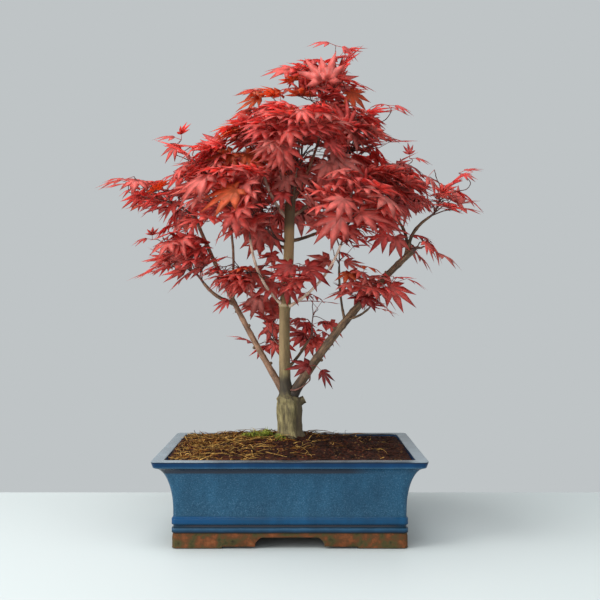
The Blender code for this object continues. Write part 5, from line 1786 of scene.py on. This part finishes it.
# The stalk of a listed leaf: its rise and its share of the leaf's length
SET_STALK_RISE, SET_STALK_SHARE = 0.3, 0.3
PATTERN_NAMES = tuple(LEAF_PATTERNS)
PATTERN_SHARES = (0.48, 0.38, 0.14)


def outline_of(name):
    """The tips of a pattern's lobes, as many for each pattern, the first one repeated."""
    plans = LEAF_PATTERNS[name][0]
    tips = [(side * plan.angle, plan.length) for plan in plans for side in (1, -1)]
    tips += [tips[0]] * (8 - len(tips))
    return [place_at(*tip) for tip in tips]


OUTLINES = np.array([outline_of(name) for name in PATTERN_NAMES])


def rows_of(leaves, rows):
    """Some of the leaves, which are kept as a dictionary of arrays with a row for each leaf."""
    return {key: values[rows] for key, values in leaves.items()}


def blades(pattern, leaves):
    """Copies of a pattern, each narrowed, drooped towards its tips, curled, sized and placed."""
    pattern = np.broadcast_to(pattern, (len(leaves["length"]), *pattern.shape[-2:]))
    x, y, z = pattern[..., 0], pattern[..., 1], pattern[..., 2]
    away = x * x + y * y
    droop, narrow, curl = (leaves[key][:, None] for key in ("droop", "narrow", "curl"))
    local = np.stack([x * (1 - 0.12 * droop * away), y * narrow, z - droop * away + curl * x * y], axis=2)
    return turned(local * leaves["length"][:, None, None], leaves["frame"], leaves["joint"])


def leaf_tips(leaves):
    return blades(OUTLINES[leaves["kind"]], leaves)


def frames_of(forward, face):
    """Frames whose columns are a blade's forward, sideways and upward ways."""
    up = unit(face - forward * np.sum(face * forward, axis=1, keepdims=True))
    return np.stack([forward, np.cross(up, forward), up], axis=2)


def leaf_nodes(mass):
    """Places of the pairs on a mass's twigs: place, direction, side, number of the spray, share."""
    rows = []
    own = {number for number, (name, *_) in zip(set_numbers, SET_SHOOTS) if name == mass.name}
    for spray, twig in enumerate(twigs_of[mass.name]):
        if spray in own:
            continue
        first = NODE_FROM if spray else STEM_NODE_FROM
        for step in range(NODES_A_TWIG):
            share = first + (1.0 - first) * step / (NODES_A_TWIG - 1)
            place, ahead = along(twig.line, min(share, 0.999))
            side = ahead.cross(PAIR_WAYS[step % 2]).normalized()
            rows.append((*place, *ahead, *side, spray, share))
    return np.array(rows)


def leaf_tries(mass, chance):
    """Many ways to hang a leaf, as arrays, without those that don't fit."""
    nodes = leaf_nodes(mass)
    nodes = nodes[chance.integers(0, 10 ** 6, LEAF_TRIES) % len(nodes)]
    node, ahead, side = nodes[:, 0:3], nodes[:, 3:6], nodes[:, 6:9]
    hand = chance.choice([-1.0, 1.0], LEAF_TRIES)[:, None]
    sideways = unit(side * hand + STALK_STRAY * chance.normal(size=(LEAF_TRIES, 3)))
    stalk = unit(ahead * STALK_AHEAD + sideways * STALK_SIDEWAYS + np.array([0, 0, STALK_UP]))
    joint = node + stalk * chance.uniform(*STALK_LENGTH, (LEAF_TRIES, 1))
    outward = joint * np.array([1, 1, 0])
    off_axis = np.linalg.norm(outward, axis=1, keepdims=True) > 0.01
    outward = np.where(off_axis, unit(outward), np.array([0, -1.0, 0]))
    forward = stalk * BLADE_AHEAD + outward * BLADE_OUT
    forward[:, 2] -= chance.uniform(*BLADE_HANG, LEAF_TRIES)
    forward = unit(forward)
    face = np.array([0, 0, 1.0]) + outward * chance.uniform(*FACE_OUT, (LEAF_TRIES, 1))
    face += chance.uniform(-FACE_SPREAD, FACE_SPREAD, (LEAF_TRIES, 3))
    tries = {
        "node": node, "stalk": stalk, "joint": joint, "frame": frames_of(forward, face),
        "length": chance.uniform(*LEAF_LENGTH, LEAF_TRIES) * min(1.0, min(mass.reach) / FULL_SIZE_REACH),
        "droop": chance.uniform(*LEAF_DROOP, LEAF_TRIES),
        "narrow": chance.uniform(*LEAF_NARROWING, LEAF_TRIES),
        "curl": chance.normal(0, LEAF_CURL, LEAF_TRIES),
        "kind": chance.choice(len(PATTERN_NAMES), LEAF_TRIES, p=PATTERN_SHARES),
        "spray": nodes[:, 9].astype(int), "share": nodes[:, 10],
    }
    tries["middle"] = joint + forward * tries["length"][:, None] * BLADE_MIDDLE
    tips = leaf_tips(tries)
    # The blade doesn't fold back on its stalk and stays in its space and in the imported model's box
    fits = np.sum(stalk * forward, axis=1) > LEAST_BEND
    reached = np.linalg.norm((tips - np.array(mass.heart)) / np.array(mass.reach), axis=2)
    fits &= reached.max(axis=1) <= TIP_REACH
    fits &= np.all((tips > BOX_LOW) & (tips < BOX_HIGH), axis=(1, 2))
    spokes = [joint[:, None] + (tips - joint[:, None]) * share for share in SPOKE_SHARES]
    fits[fits] = ~in_the_way(np.concatenate(spokes, axis=1)[fits])
    shares = np.linalg.norm((tries["middle"][:, None] - HEARTS[None]) / REACHES[None], axis=2)
    own = MASSES.index(mass)
    fits &= shares.argmin(axis=1) == own
    tries["edge"] = shares[:, own]
    return rows_of(tries, fits)


def set_leaves(mass, chance):
    """The leaves at the tips of the listed shoots, in the same arrays, or None."""
    rows = [(number, mm(*tip), way, length / 1000, lean, pattern)
            for number, (name, tip, *leaves) in zip(set_numbers, SET_SHOOTS) if name == mass.name
            for *way, length, lean, pattern in leaves]
    if not rows:
        return None
    numbers, tips, ways, lengths, leans, kinds = (np.array(column, float) for column in zip(*rows))
    forward = unit(ways)
    frames = frames_of(forward, np.stack([0 * leans, -leans, 0 * leans + 1], axis=1))
    stalk = unit(forward + SET_STALK_RISE * frames[:, :, 2])
    joint = tips + stalk * lengths[:, None] * SET_STALK_SHARE
    return {
        "node": tips, "stalk": stalk, "joint": joint, "frame": frames, "length": lengths,
        "droop": chance.uniform(*LEAF_DROOP, len(rows)),
        "narrow": chance.uniform(*SET_NARROWING, len(rows)),
        "curl": chance.normal(0, SET_CURL, len(rows)),
        "kind": kinds.astype(int), "spray": numbers.astype(int), "share": np.ones(len(rows)),
        "middle": joint + forward * lengths[:, None] * BLADE_MIDDLE, "edge": np.ones(len(rows)),
    }


def blade_tree(leaves, row):
    """A coarse star of one leaf without its tips, for telling whether it touches anything."""
    rim = np.unique(OUTLINES[leaves["kind"][row]], axis=0) * STAR_SHARE
    rim = rim[np.argsort(np.arctan2(rim[:, 1], rim[:, 0]))]
    notches = (rim[:-1] + rim[1:]) / 2 * STAR_NOTCH
    star = np.concatenate([[[0, 0, 0]], rim, notches])
    corners = blades(star, rows_of(leaves, slice(row, row + 1)))[0]
    count = len(rim)
    faces = [(0, count + number, 1 + number) for number in range(1, count)]
    faces += [(0, 1 + number, 1 + count + number) for number in range(count - 1)]
    return BVHTree.FromPolygons(corners.tolist(), faces)


def wood_tree():
    """The trunk, the limbs and the twigs as coarse square tubes, in the plan's own frame."""
    corners, faces = [], []

    def tube(points, radii):
        base = len(corners)
        for number, (point, (side, other)) in enumerate(zip(points, line_frames(points))):
            for a, b in ((1, 0), (0, 1), (-1, 0), (0, -1)):
                corners.append(tuple(point + (side * a + other * b) * radii[number]))
            if number:
                near = base + 4 * (number - 1)
                for corner in range(4):
                    after = (corner + 1) % 4
                    faces.append((near + corner, near + after, near + 4 + after, near + 4 + corner))

    tube([trunk_middle(ring[HEIGHT]) for ring in TRUNK], [ring[RADIUS] for ring in TRUNK])
    plans = [(limb_lines[name], limb) for name, limb in LIMBS.items()]
    plans += [(twig.line, twig) for twigs in twigs_of.values() for twig in twigs]
    for line, plan in plans:
        tube(line, np.linspace(plan.root_radius, plan.tip_radius, len(line)))
    return BVHTree.FromPolygons(corners, faces)


def hang_leaves(mass, wood, middles, stars, chance):
    """Chooses the mass's leaves one by one; middles and stars are those of every leaf so far."""
    tries = leaf_tries(mass, chance)
    away = np.linalg.norm(tries["middle"][:, None] - np.array(middles)[None], axis=2)
    close = closeness(tries["middle"])
    foremost = tries["joint"] + tries["frame"][:, :, 0] * tries["length"][:, None]
    leading = foremost @ np.array(leading_way(mass))
    open_rows = np.ones(len(away), bool)
    chosen = []
    for number in range(mass.leaves):
        score = away.min(axis=1) * close + EDGE_LEAN * tries["edge"] if number else leading
        score = np.where(open_rows, score, RULED_OUT)
        for row in np.argsort(-score)[:LEAF_BEST]:
            if not open_rows[row]:
                break
            open_rows[row] = False
            star = blade_tree(tries, row)
            near = [stars[other] for other in np.flatnonzero(away[row] < NEAR_LEAF)]
            if not star.overlap(wood) and not any(star.overlap(other) for other in near):
                chosen.append(row)
                middles.append(tries["middle"][row])
                stars.append(star)
                to_new = np.linalg.norm(tries["middle"] - tries["middle"][row], axis=1)
                away = np.column_stack([away, to_new])
                break
    return rows_of(tries, np.array(chosen, int))


leaf_chance = np.random.default_rng(LEAF_SEED)
wood = wood_tree()
placed = {mass.name: set_leaves(mass, leaf_chance) for mass in MASSES}
set_rows = [(leaves, row) for leaves in placed.values() if leaves for row in range(len(leaves["length"]))]
middles = [leaves["middle"][row] for leaves, row in set_rows]
stars = [blade_tree(leaves, row) for leaves, row in set_rows]
print(len(stars), "leaves set by hand")
leaves_of = {}
for mass in MASSES:
    leaves = hang_leaves(mass, wood, middles, stars, leaf_chance)
    print(mass.name, len(leaves["length"]), "of", mass.leaves, "leaves")
    if placed[mass.name]:
        leaves = {key: np.concatenate([values, placed[mass.name][key]]) for key, values in leaves.items()}
    leaves_of[mass.name] = leaves

# %% [markdown]
# A real twig ends in a pair of leaves. So what bears no leaf is taken off again: every twig is cut
# back to its last leaf or its last fork, and a twig with neither is dropped. Twigs of this maple
# are smooth and dark red-brown, almost black against the sky.

# %% Twigs
def trimmed(twigs, leaves):
    """The twigs of a mass, each cut back to its last leaf or fork, without the bare ones."""
    ends = [0.0] * len(twigs)
    for spray, share in zip(leaves["spray"], leaves["share"]):
        ends[spray] = max(ends[spray], share)
    for number in range(len(twigs) - 1, 0, -1):
        if ends[number]:
            parent = twigs[number].parent
            ends[parent] = max(ends[parent], twigs[number].fork)
    kept = []
    for twig, end in zip(twigs, ends):
        if end:
            last = len(twig.line) - 1
            line = [along(twig.line, end * step / last)[0] for step in range(last + 1)]
            kept.append(twig._replace(line=line))
    return kept


kept_twigs = [twig for mass in MASSES for twig in trimmed(twigs_of[mass.name], leaves_of[mass.name])]
twig_batches = []
for sides, points in ((6, TWIG_POINTS + 1), (5, TWIG_POINTS)):
    pattern, faces = strand_pattern(sides, points - 1)
    corners = np.array([swept(pattern, twig) for twig in kept_twigs if len(twig.line) == points])
    twig_batches.append((corners, faces, [0] * len(corners)))
red_brown = mottled_wood("red_brown_twig_bark", 7.14, 0.55, (0.35, "#3A211C"), (0.65, "#6E4438"))
twigs = joined_copies("red_brown_twigs", twig_batches, [red_brown])
twigs.data.shade_smooth()
dressed(twigs, "brown_bark")
print(len(kept_twigs), "twigs")

# %% [markdown]
# Autumn doesn't colour the crown evenly. Sprays in full light are a clear scarlet, and a few at
# the upper left have turned towards orange. Each spray is dealt one of six plain reds, two of
# them painted light and shade: a pinker light scarlet is a painted sheen on some blades, and a
# deep wine red is painted shade, dealt mostly to the low leaves at the fork, which hang in the
# crown's shade. The blade is thin and satiny and lets some light through, so a little of the
# light from behind is mixed in.

# %% Leaf reds
LEAF_GLOW = 0.66


def maple_leaf(name, hex_value, shine):
    """A satiny leaf: its red is a shade uneven, and it glows a little with light behind it."""
    material, tree, shader = new_material(name)
    shade, _ = noise_colours(tree, object_place(tree), spots(9.1), 4.0, (
        (0.35, "#DCD6D6"), (0.62, "#FFFFFF")))
    colour = mixed(tree, 1.0, hex_value, shade, "MULTIPLY")
    painted(tree, shader, colour, shine, 0.4)
    glow = add_node(tree, "ShaderNodeBsdfTranslucent", inputs={"Color": colour})
    both = add_node(tree, "ShaderNodeMixShader", inputs={
        0: LEAF_GLOW, 1: shader.outputs[0], 2: glow.outputs[0]})
    tree.links.new(both.outputs[0], tree.nodes["Material Output"].inputs["Surface"])
    return material


# The light scarlet is a pinker red that stands for the sheen of light, a painted sheen; the wine red is
# painted shade
REDS = (("scarlet_maple_leaf", "#EC8076", 0.42), ("sheen_painted_scarlet_maple_leaf", "#E88F84", 0.45),
        ("red_maple_leaf", "#F27A70", 0.42), ("shade_painted_wine_red_maple_leaf", "#B04A48", 0.40),
        ("orange_red_maple_leaf", "#F07E50", 0.45), ("deep_red_maple_leaf", "#F0746E", 0.42))
leaf_materials = [maple_leaf(*red) for red in REDS]
stalk_red = mottled_wood("red_leaf_stalk", 7.14, 0.5, (0.35, "#7A2420"), (0.65, "#A84038"))
SPRAYS_AT_MOST = 200
# Leaves that take another red than their spray
OWN_RED_SHARE = 0.2
# Shares of the six reds in a mass, in the order above
RED_SHARES = {
    "default": (0.27, 0.15, 0.29, 0.03, 0.01, 0.25),
    "upper_left": (0.15, 0.10, 0.17, 0.02, 0.40, 0.16),
    "left_wing": (0.21, 0.20, 0.25, 0.04, 0.06, 0.24),
    "left_front": (0.38, 0.16, 0.24, 0.02, 0.04, 0.16),
    "right_front": (0.40, 0.18, 0.24, 0.02, 0.0, 0.16),
    # The leaves at the fork are mostly wine red, painted shade for the crown's shade on them
    "fork_leaves": (0.0, 0.0, 0.0, 0.8, 0.0, 0.2),
    "crown_tip": (0.20, 0.0, 0.34, 0.04, 0.04, 0.38),
}


def spray_reds(mass, sprays, chance):
    """A red for each leaf: that of its spray, or for one leaf in five one of its own."""
    shares = RED_SHARES.get(mass.name, RED_SHARES["default"])
    by_spray = chance.choice(len(REDS), SPRAYS_AT_MOST, p=shares)
    own = chance.choice(len(REDS), len(sprays), p=shares)
    return np.where(chance.random(len(sprays)) < OWN_RED_SHARE, own, by_spray[sprays])


# %% The leaves and their stalks
STALK_RADII = (0.00036, 0.00028)
stalk_pattern, stalk_faces = strand_pattern(3, 4)
colour_chance = np.random.default_rng(LEAF_SEED + 1)
region_batches, stalk_corners = {}, []
for mass in MASSES:
    leaves = leaves_of[mass.name]
    reds = spray_reds(mass, leaves["spray"], colour_chance)
    for number, name in enumerate(PATTERN_NAMES):
        rows = np.flatnonzero(leaves["kind"] == number)
        if len(rows):
            corners, faces = leaf_patterns[name]
            copies = blades(corners, rows_of(leaves, rows)) + np.array(HOME)
            region_batches.setdefault(mass.region, []).append((copies, faces, reds[rows]))
    for node, stalk, joint, frame, length in zip(
            *(leaves[key] for key in ("node", "stalk", "joint", "frame", "length"))):
        start, end = Vector(node), Vector(joint) + Vector(frame[:, 0]) * length * 0.02
        bend = start + Vector(stalk) * (end - start).length * 0.6
        line = [bent_line(start, bend, end, step / 4) for step in range(5)]
        stalk_corners.append(swept(stalk_pattern, Twig(line, *STALK_RADII)))

for region, batches in region_batches.items():
    piece = joined_copies(region + "_leaves", batches, leaf_materials)
    dressed(piece, "leaves", *[mass.name for mass in MASSES if mass.region == region])
stalk_batch = (np.array(stalk_corners), stalk_faces, [0] * len(stalk_corners))
dressed(joined_copies("leaf_stalks", [stalk_batch], [stalk_red]), "leaves")
